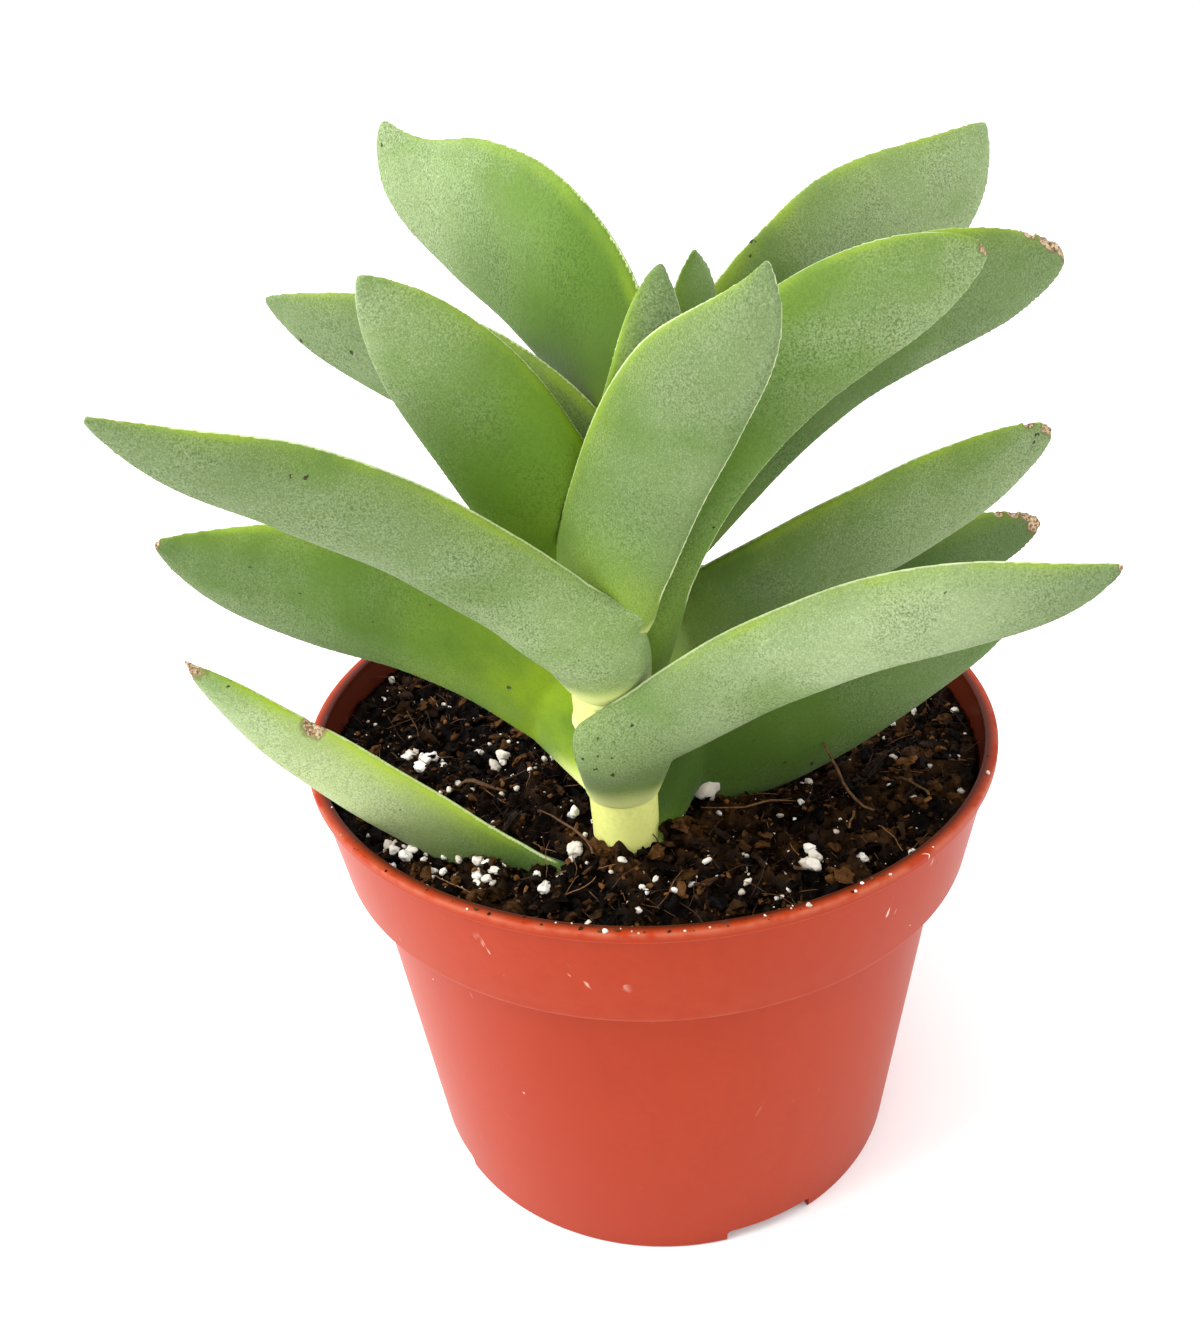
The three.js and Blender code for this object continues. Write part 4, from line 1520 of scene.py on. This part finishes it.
@dataclass
class Leaf(LeafTones, LeafShape):
    """One leaf: a blade, and the sleeve by which its base holds the stem.

    lip_drop is how far below the leaf's node the sleeve's lip clasps the stem, lip_stand how
    far the lip stands off it, lip_behind how far round it reaches, and sleeve_reach how much
    of the blade the sleeve takes in. seam is how far from blade and sleeve the skin between
    them starts and ends to be smoothed. shrink is how far dry skin draws in, pulls are listed
    places where the skin is drawn, and voxel is the fineness of the finished skin.
    """

    lip_drop: float = 6.0
    lip_stand: float = 0.4
    lip_height: float = 1.2
    lip_rounding: float = 0.35
    lip_behind: float = 3.0
    sleeve_reach: float = 12.0
    sleeve_sides: int = 56
    seam: tuple[float, float] = (1.2, 3.0)
    seam_rounds: int = 14
    shrink: float = 0.35
    pulls: tuple[Pull, ...] = ()
    voxel: float = 0.36

    def blade(self, blank: bpy.types.Object) -> bpy.types.Object:
        """Copies the straight blank and bends it into this leaf's blade."""
        blade = duplicate(blank, self.name + "_whole")
        places = self.bend(vertex_rows(blade) / MM)
        place_vertices(blade, (places * MM) + np.array(POT_AXIS))
        return blade

    def clasp(self, blade: bpy.types.Object, stem: Stem) -> bpy.types.Object:
        """The sleeve by which the leaf's base holds the stem.

        Args:
            blade: The leaf's blade.
            stem: The stem that it holds.

        Returns:
            A flared sleeve, from a lip on the stem up to the blade's base.
        """
        lip = at(*stem.axis(self.node - self.lip_drop))
        aside = Vector(self.middle[0] - stem.axis(self.node)) * MM
        facing = Vector((aside.x, aside.y, 0.0)).normalized()
        ring = fresh(
            bpy.ops.mesh.primitive_cylinder_add, "lip_ring", vertices=self.sleeve_sides,
            radius=(stem.radius_at(self.node - self.lip_drop) + self.lip_stand) * MM,
            depth=self.lip_height * MM, location=lip + Vector((0, 0, self.lip_height / 2 * MM)),
        )
        with editing(ring):
            bpy.ops.mesh.select_all(action="SELECT")
            bpy.ops.mesh.bevel(offset=self.lip_rounding * MM, segments=2)
            bpy.ops.mesh.select_all(action="SELECT")
            bpy.ops.mesh.bisect(
                plane_co=lip - facing * self.lip_behind * MM, plane_no=facing,
                use_fill=True, clear_inner=True,
            )
        settle(ring)
        base = duplicate(blade, self.name + "_base")
        start = at(*self.middle[0])
        with editing(base):
            pick(base, lambda place: (place - start).length > self.sleeve_reach * MM)
            bpy.ops.mesh.delete(type="VERT")
        sleeve = join(self.name + "_sleeve", [ring, base])
        with editing(sleeve):
            bpy.ops.mesh.select_all(action="SELECT")
            bpy.ops.mesh.convex_hull()
        return sleeve

    def trim(self, blade: bpy.types.Object, outer: Sequence[bpy.types.Object]) -> bpy.types.Object:
        """Cuts a blade back where leaves that lie further out press on it.

        Args:
            blade: The blade, which is changed.
            outer: The blades that lie further out.

        Returns:
            The largest piece of what is left.
        """
        places = vertex_rows(blade)
        low, high = places.min(axis=0), places.max(axis=0)
        for other in outer:
            theirs = vertex_rows(other)
            if np.all(theirs.min(axis=0) < high) and np.all(theirs.max(axis=0) > low):
                apply_modifier(blade, "BOOLEAN", object=other, operation="DIFFERENCE", solver="MANIFOLD")
        already = set(bpy.data.objects)
        with editing(blade):
            bpy.ops.mesh.select_all(action="SELECT")
            bpy.ops.mesh.separate(type="LOOSE")
        pieces = [blade, *(set(bpy.data.objects) - already)]
        pieces.sort(key=lambda piece: (-len(piece.data.vertices), piece.name))
        for piece in pieces[1:]:
            bpy.data.objects.remove(piece)
        return pieces[0]

    def merge(self, blade: bpy.types.Object, sleeve: bpy.types.Object) -> bpy.types.Object:
        """Grows blade and sleeve into one skin, smooth where they meet."""
        surfaces = [surface_of(part) for part in (blade, sleeve)]
        leaf = join(self.name + "_blade", [blade, sleeve])
        apply_modifier(leaf, "REMESH", mode="VOXEL", voxel_size=self.voxel * MM)
        apply_modifier(leaf, "SMOOTH", factor=0.5, iterations=2)
        places = vertex_rows(leaf)
        away = np.linalg.norm(places / MM - np.array(POT_AXIS) / MM - self.middle[0], axis=1)
        group = leaf.vertex_groups.new(name="seam")
        for index in np.nonzero(away < 2.5 * self.sleeve_reach)[0]:
            gaps = [surface.find_nearest(Vector(places[index]))[3] for surface in surfaces]
            weight = 1.0 - smooth_ramp(np.array(max(gaps)), self.seam[0] * MM, self.seam[1] * MM)
            group.add([int(index)], float(weight), "REPLACE")
        apply_modifier(
            leaf, "SMOOTH", factor=0.5, iterations=self.seam_rounds, vertex_group="seam"
        )
        leaf.vertex_groups.clear()
        return leaf

    def spots(
        self, marks: Sequence[Mark], t: np.ndarray, across: np.ndarray, half_width: np.ndarray
    ) -> np.ndarray:
        """How deep each vertex lies in a mark: 1 at its middle, 0 at twice its size.

        Args:
            marks: The marks on this leaf.
            t: Each vertex's share along the leaf.
            across: Each vertex's share across the leaf.
            half_width: Half the leaf's width at each vertex, in millimetres.

        Returns:
            The depth at each vertex, 0 outside the marks.
        """
        depth = np.zeros(len(t))
        for mark in marks:
            away = np.hypot((t - mark.along) * self.length, (across - mark.across) * half_width)
            depth = np.maximum(depth, 1 - away / (2 * mark.size))
        return depth

    def dress(self, leaf: bpy.types.Object, stem: Stem) -> None:
        """Paints the leaf's tones with their painted shade, its rim line with a painted highlight on the
        upper margin, its yellow base and its corky marks.
        """
        local = in_mm(leaf)
        t, across = self.locate(local)
        inside = np.clip(t, 0.0, 1.0)
        half_width = self.half_sizes(inside)[0]
        scab = self.spots(self.marks, t, across, half_width)
        height = local[:, 2] - stem.foot[2]
        lip = self.node - self.lip_drop
        trunk = np.array([stem.axis(h) for h in height])
        at_stem = 1 - smooth_ramp(np.hypot(*(local - trunk)[:, :2].T), 8.5, 13.0)
        edge = 1 - np.abs((vertex_rows(leaf, "normal") * self.directions(inside)[2]).sum(axis=1))

        # Painted shade: darker near the base, deep in the rosette, and on leaves that lie in shadow.
        tone = self.tone[0] + (self.tone[1] - self.tone[0]) * smooth_ramp(t, *self.tone_fade)
        frost = self.frost + 0.2 * smooth_ramp(t, 0.3, 0.9) - 0.3 * smooth_ramp(across, 0.0, 1.0)
        amount, reach = self.blush
        blush = self.upper_blush * smooth_ramp(across, 0.2, 1.0) * smooth_ramp(t, 0.15, 0.4)
        blush = blush + amount * (1 - smooth_ramp(t, 0.0, reach))
        blush = np.maximum(blush, 0.7 * at_stem * (1 - smooth_ramp(height, lip + 1.0, lip + 9.0)))
        pale = self.pallor * smooth_ramp(t, 0.2, 0.5) * (1 - smooth_ramp(t, 0.6, 0.95))
        # The rim line along the margins, and along the upper margin a painted highlight, where the thick
        # margin catches the light.
        rim = np.maximum(smooth_ramp(edge, 0.4, 0.75), self.upper_rim_highlight * smooth_ramp(across, 0.9, 0.97))
        painted = {
            "rich": self.rich[0] * (1 - smooth_ramp(t, *self.rich[1:])),
            "dirt": self.spots(self.specks, t, across, half_width),
            "tone": tone + self.tip_tone * smooth_ramp(t, 0.6, 1.0),
            "frost": frost + self.lower_frost * smooth_ramp(-across, 0.3, 0.95),
            "blush": blush + 0.4 * smooth_ramp(across, 0.8, 0.95) * smooth_ramp(t, 0.1, 0.3),
            "pale": np.maximum(pale, 0.85 * at_stem * (1 - smooth_ramp(height, lip, lip + 5.5))),
            "rim": rim * smooth_ramp(t, 0.06, 0.16),
            "scab": scab,
        }
        for name, values in painted.items():
            paint(leaf, name, values)
        self.shrivel(leaf, self.shrink * smooth_ramp(scab, 0.4, 0.7))

    def draw_out(self, leaf: bpy.types.Object) -> None:
        """Draws the skin out, or in, at the listed places."""
        for pull in self.pulls:
            spot = at(*pull.place)
            nearest = min(leaf.data.vertices, key=lambda vertex: (vertex.co - spot).length_squared)
            middle = nearest.co.copy()
            with editing(leaf):
                pick(leaf, lambda place: (place - middle).length < 0.01 * MM)
                bpy.ops.transform.translate(
                    value=Vector(pull.by) * MM,
                    use_proportional_edit=True,
                    proportional_edit_falloff="SMOOTH",
                    proportional_size=pull.reach * MM,
                    use_proportional_connected=True,
                )

    def shrivel(self, leaf: bpy.types.Object, shrink: np.ndarray) -> None:
        """Draws the skin in by so many millimetres, unevenly, where it has dried."""
        places = vertex_rows(leaf)
        normals = vertex_rows(leaf, "normal")
        for index in np.nonzero(shrink > 0.0)[0]:
            rough = 0.6 + 0.9 * noise.noise(Vector(places[index]) / (0.9 * MM))
            places[index] -= normals[index] * shrink[index] * rough * MM
        place_vertices(leaf, places)

    def build(self, blade: bpy.types.Object, stem: Stem, skin: bpy.types.Material) -> None:
        """Joins the blade to its sleeve, dresses it and hands it over."""
        leaf = self.merge(blade, self.clasp(blade, stem))
        self.draw_out(leaf)
        self.dress(leaf, stem)
        hand_over(smooth(leaf), skin, [self.name])


def leaf_blank(rings: int = 96, sides: int = 44) -> bpy.types.Object:
    """A straight round bar, one millimetre long, that every blade is bent from."""
    shares = [index / rings for index in range(rings + 1)]
    eased = [0.35 * s + 0.65 * s * s * (3 - 2 * s) for s in shares]
    bar = [Ring(1.0, share) for share in eased]
    return raise_rings("leaf_blank", bar, sides, Ends.CAPPED, Vector((0, 0, 0)))


LEAVES = (
    Leaf(
        "leaf_01", -7.6, 4, -6.8, 71, 12, 4.2, (171, 173), (18, 51, 19, 57), (-6, 3), 0.75, 0.45, -0.1,
        upper=(1.0, 0.95, 0.9, 0.9, 0.9), lower=(1.0, 1.06, 1.06, 1.0, 0.95),
        tone=(1.25, 0.0), tone_fade=(0.2, 0.6), pallor=0.12, rich=(0.4, 0.3, 0.55), frost=0.75,
        lower_frost=0.5, blush=(0.0, 0.3), upper_blush=0.75,
        marks=(Mark(1.0, 0, 3.3), Mark(0.71, 0.97, 1.9)),
        specks=(Mark(0.9, 0.6, 0.4), Mark(0.47, 0.1, 0.3), Mark(0.22, 0.3, 0.5)),
    ),
    Leaf(
        "leaf_02", 10, 2, -6, 64, 17, 5, (10, 15), (-4, 8, 41, 10), (-3, 0), 0.85, 0.4, -0.1,
        lip_drop=13.0, lower=(1.3, 1.3, 1.15, 1.0, 1.0), tone=(1.2, 0.8), tone_fade=(0.1, 0.3),
        rich=(0.65, 0.3, 0.9), frost=0.3, blush=(0.0, 0.3), upper_blush=0.0,
        specks=(Mark(0.42, -0.75, 0.5), Mark(0.3, 0.1, 0.3), Mark(0.5, 0.2, 0.25),
                Mark(0.36, -0.5, 0.4)),
    ),
    Leaf(
        "leaf_03", 15, 0, 6, 76.8, 21, 5, (172, 172), (44, 44, -22, 33), (11, 3), 0.95, 0.45, -0.05,
        lip_drop=5.0, sleeve_reach=14.0, tone=(0.0, 0.6), tip_tone=0.35, rich=(0.7, 0.4, 0.9),
        frost=0.1, lower_frost=0.8, blush=(1.0, 0.6), marks=(Mark(1.0, 0, 1.2),),
        specks=(Mark(0.8, 0.2, 0.4), Mark(0.7, -0.1, 0.35), Mark(0.55, -0.3, 0.3),
                Mark(0.45, 0.2, 0.3), Mark(0.36, -0.2, 0.25)),
    ),
    Leaf(
        "leaf_04", 19, -5, 8, 76.6, 14, 5.2, (-3, -8), (25, 58, -15, 31), (1, 0), 0.8, 0.5, -0.1,
        lip_drop=9.8, sleeve_reach=13.5, dip=0.4, tone=(0.6, 0.0), tone_fade=(0.1, 0.5),
        tip_tone=0.9, rich=(0.2, 0.1, 0.5), frost=1.1, blush=(0.1, 0.3), marks=(Mark(1.0, 0, 0.9),),
        specks=(Mark(0.03, -0.1, 0.45), Mark(0.09, 0.3, 0.4), Mark(0.1, 0.1, 0.35),
                Mark(0.05, -0.45, 0.5), Mark(0.14, 0.45, 0.4), Mark(0.72, 0.5, 0.35),
                Mark(0.02, 0.35, 0.35), Mark(0.05, 0.2, 0.3), Mark(0.07, 0.55, 0.4),
                Mark(0.12, 0.65, 0.3), Mark(0.0, 0.55, 0.35), Mark(0.07, 0.0, 0.3)),
    ),
    Leaf(
        "leaf_05", 21, 2, -10, 77, 15, 4.6, (18, 25), (8, 9, 10, 11), (-4, -7), 0.7, 0.45, -0.1,
        tip_roundness=0.52, tone=(1.35, 1.3), rich=(0.5, 0.4, 1.0), frost=0.35,
        marks=(Mark(1.0, 0.2, 2.8), Mark(0.97, 0.85, 1.5), Mark(0.935, 0.93, 1.2),
               Mark(0.9, 0.95, 0.9)),
    ),
    Leaf(
        "leaf_06", 27, 1, -8, 73, 16, 4.8, (13, 13), (13, 27, 20, 31), (-3, 5), 0.75, 0.4, -0.1,
        tip_roundness=0.52, lower=(1.0, 1.0, 1.0, 1.08, 1.16), tone=(1.1, 0.4),
        tone_fade=(0.2, 0.8), rich=(0.1, 0.2, 0.6), frost=0.45,
        marks=(Mark(1.0, 0.3, 1.6), Mark(0.96, 0.85, 0.7)),
        specks=(Mark(0.965, 0.2, 0.5), Mark(0.955, -0.1, 0.45), Mark(0.35, -0.2, 0.3)),
    ),
    Leaf(
        "leaf_07", 35, -3, -8, 75.6, 15, 5.2, (184, 193), (25, 68, 5, 37), (-1, -13), 0.9, 0.35, -0.1,
        lip_drop=8.0, dip=0.55, upper=(1.0, 1.0, 0.97, 0.93, 0.88), lower=(1.05, 0.78, 0.82, 1.0, 1.03),
        pulls=(Pull((0.17, -37.6, 116.5), (-1.0, 0.0, 0.0), 4.0),
               Pull((-0.5, -36.8, 118.6), (2.1, 0.2, 0.9), 2.8)),
        tone=(0.0, 0.65), tone_fade=(0.1, 0.45), rich=(0.15, 0.1, 0.5), frost=0.7, lower_frost=0.6,
        blush=(0.05, 0.3), marks=(Mark(1.0, 0, 0.5),),
        specks=(Mark(0.66, 0.45, 0.5), Mark(0.68, 0.38, 0.4), Mark(0.2, 0.2, 0.3),
                Mark(0.1, -0.3, 0.3)),
    ),
    Leaf(
        "leaf_08", 33, 4, 0, 74, 16, 5, (-2, 6), (88, 66, 27, 22), (-25, -6), 0.7, 0.55, -0.1,
        lip_drop=7.0, tip_roundness=0.6, lower=(1.0, 1.0, 1.0, 1.0, 1.08), tone=(0.4, 0.1),
        rich=(0.7, 0.4, 0.95), frost=0.25, blush=(0.25, 0.35), marks=(Mark(1.0, 0.1, 1.1),),
        specks=(Mark(0.3, -0.9, 0.4),),
    ),
    Leaf(
        "leaf_09", 41, 2, -4, 83, 20, 4.8, (21, 22), (42, 69, -15, 17), (-15, -11), 0.75, 0.4, -0.1,
        tip_roundness=0.52, tone=(1.1, 0.8), tone_fade=(0.2, 0.9), rich=(0.5, 0.4, 0.8), frost=0.4,
        lower_frost=0.5, marks=(Mark(1.0, 0.3, 1.5), Mark(0.975, 0.75, 1.5), Mark(0.94, 0.95, 1.0)),
    ),
    Leaf(
        "leaf_10", 41, 0, 4, 70, 17, 4.6, (159, 156), (100, 21, 6, 24), (0, 0), 0.8, 0.4, -0.1,
        dip=0.4, tone=(1.0, 0.75), rich=(0.5, 0.2, 0.6), frost=0.9, lower_frost=0.0,
        specks=(Mark(0.97, -0.9, 0.4), Mark(0.78, -0.3, 0.5), Mark(0.76, -0.4, 0.4),
                Mark(0.9, -0.8, 0.5)),
    ),
    Leaf(
        "leaf_11", 40.2, -1, 0.8, 54.6, 18, 5, (186, 185), (57, 71, 51, 61), (0, -3), 0.8, 0.45, -0.1,
        tone=(0.3, 0.15), tone_fade=(0.2, 0.7), rich=(1.0, 0.4, 0.95), frost=0.4, lower_frost=0.4,
        blush=(0.4, 0.5), upper_blush=0.2,
    ),
    Leaf(
        "leaf_12", 42, 0, 4, 54, 18, 5, (-32, -32), (58, 89, 32, 75), (-2, 0), 0.95, 0.45, -0.15,
        flick=0.03, dip=0.9, tip_roundness=0.9, tone=(0.4, 0.75), rich=(0.6, 0.1, 0.6), frost=0.65,
        lower_frost=0.35, blush=(0.6, 0.3), upper_rim_highlight=0.85,
    ),
    Leaf(
        "leaf_13", 50, 2, -5, 88.5, 25, 4.8, (42, 34), (12, 57, 8, 40), (6, -25), 0.7, 0.5, -0.15,
        flick=0.08, dip=1.0, lower=(1.0, 1.0, 1.0, 1.0, 1.06), tone=(0.9, 0.15),
        tone_fade=(0.2, 0.8), rich=(0.3, 0.2, 0.7), frost=0.55,
        specks=(Mark(0.51, 1.0, 0.7), Mark(0.49, 0.9, 0.4)),
    ),
    Leaf(
        "leaf_14", 49, 1, 5, 74.8, 25, 4.8, (120, 141), (98, 73, -37, 60), (-4, 10), 0.6, 0.4, -0.1,
        flick=0.02, dip=1.3, beak_from=0.76, tip_roundness=0.68,
        upper=(1.0, 1.0, 0.98, 0.95, 0.95), tone=(1.8, 0.0), tone_fade=(0.2, 0.6),
        rich=(1.0, 0.4, 0.9), frost=0.5, lower_frost=0.05, blush=(0.6, 0.45), upper_blush=0.0,
        specks=(Mark(0.97, -0.3, 0.4),),
    ),
    Leaf(
        "leaf_15", 54, 0, 2, 34, 10, 3.6, (-7, -4), (65, 61, 86, 73), (-1, -7), 0.6, 0.4, 0.15,
        lip_drop=2.0, sleeve_reach=9.0, tone=(0.6, 0.75), rich=(0.7, 0.2, 0.9), frost=0.35,
        blush=(0.3, 0.5),
    ),
    Leaf(
        "leaf_16", 54, 1, -1, 38, 12, 3.2, (46, 41), (38, 38, 52, 90), (3, -3), 0.6, 0.45, 0.15,
        lip_drop=2.0, sleeve_reach=13.0, tone=(0.5, 0.3), rich=(1.0, 0.6, 1.0), frost=0.3,
        blush=(0.3, 0.5),
    ),
)


@dataclass
class Foliage:
    """All the leaves, of one skin, bent from one blank."""

    leaves: tuple[Leaf, ...] = LEAVES
    outermost_first: tuple[int, ...] = (4, 7, 12, 11, 8, 9, 15, 13, 14, 10, 6, 16, 3, 1, 2, 5)
    skin: LeafSkin = LeafSkin("leaf_skin", roughness=0.55, specular=0.12)

    def build(self, stem: Stem) -> None:
        """Bends all blades, cuts each back by those further out, and finishes the leaves."""
        skin = self.skin.make()
        blank = leaf_blank()
        outer: list[bpy.types.Object] = []
        for number in self.outermost_first:
            leaf = self.leaves[number - 1]
            leaf.trace_middle(stem)
            whole = leaf.blade(blank)
            leaf.build(leaf.trim(duplicate(whole, whole.name), outer), stem, skin)
            outer.append(whole)
        for obj in [*outer, blank]:
            bpy.data.objects.remove(obj)


# ---- Studio ----


@dataclass(frozen=True)
class SoftLight:
    """A square soft light: where it hangs, how wide and strong it is."""

    place: Triple
    width: float
    watts: float


@dataclass
class Studio:
    """White paper, soft light from the left and above, and the camera.

    The lights and what they aim at are placed in metres. The camera is placed in millimetres,
    from the pot's axis and foot, and its turns are in degrees.
    """

    floor_size: float = 14.0
    daylight: float = 1.15
    lights: tuple[SoftLight, ...] = (
        SoftLight((-1.1, -0.2, 1.1), 1.2, 38.0),
        SoftLight((0.4, -0.9, 1.6), 1.4, 6.0),
        SoftLight((1.2, 0.1, 0.35), 0.9, 7.0),
    )
    aim: Triple = (0.0, 0.0, 0.08)
    camera_place: Triple = (0.0, -194.92, 201.93)
    camera_yaw: float = -2.253
    camera_down: float = 29.525
    camera_roll: float = -3.486
    focal_pixels: float = 1354.0
    frame_height_pixels: float = 1325.0
    sensor: float = 36.0
    nearest: float = 0.01
    farthest: float = 100.0
    floor_finish: StudioFloor = StudioFloor("white_paper", roughness=0.8, specular=0.1)

    def build(self) -> None:
        """Sets up the floor, the light and the camera."""
        self.lay_floor()
        self.light()
        self.set_camera()

    def lay_floor(self) -> None:
        """Lays the paper that the pot stands on."""
        floor = fresh(bpy.ops.mesh.primitive_plane_add, "studio_floor", size=self.floor_size)
        floor.data.materials.append(self.floor_finish.make())

    def light(self) -> None:
        """Hangs the soft lights and whitens the surroundings."""
        for light in self.lights:
            away = Vector(light.place) - Vector(self.aim)
            turn = away.to_track_quat("Z", "Y").to_euler()
            lamp = fresh(
                bpy.ops.object.light_add, "soft_light",
                type="AREA", location=light.place, rotation=turn,
            )
            lamp.data.size = light.width
            lamp.data.energy = light.watts
        world = bpy.data.worlds.new("white_room")
        world.use_nodes = True
        background = world.node_tree.nodes["Background"]
        background.inputs["Color"].default_value = (1.0, 1.0, 1.0, 1.0)
        background.inputs["Strength"].default_value = self.daylight
        bpy.context.scene.world = world
        bpy.context.scene.view_settings.view_transform = "Standard"

    def set_camera(self) -> None:
        """Sets the camera where the photograph was taken from."""
        aimed = Euler((math.radians(90 - self.camera_down), 0.0, math.radians(-self.camera_yaw)))
        turn = aimed.to_matrix() @ Matrix.Rotation(math.radians(self.camera_roll), 3, "Z")
        camera = fresh(
            bpy.ops.object.camera_add, "photo_camera",
            location=at(*self.camera_place), rotation=turn.to_euler(),
        )
        camera.data.sensor_width = self.sensor
        camera.data.lens = self.focal_pixels / self.frame_height_pixels * self.sensor
        camera.data.clip_start = self.nearest
        camera.data.clip_end = self.farthest
        bpy.context.scene.camera = camera


def main() -> None:
    """Builds the studio, then the pot and all that grows in it."""
    logging.basicConfig(level=logging.INFO, format="%(name)s: %(message)s")
    Studio().build()
    pot = Pot()
    pot.build()
    PottingMix().build(pot)
    stem = Stem()
    stem.build()
    Foliage().build(stem)


if __name__ == "__main__":
    main()
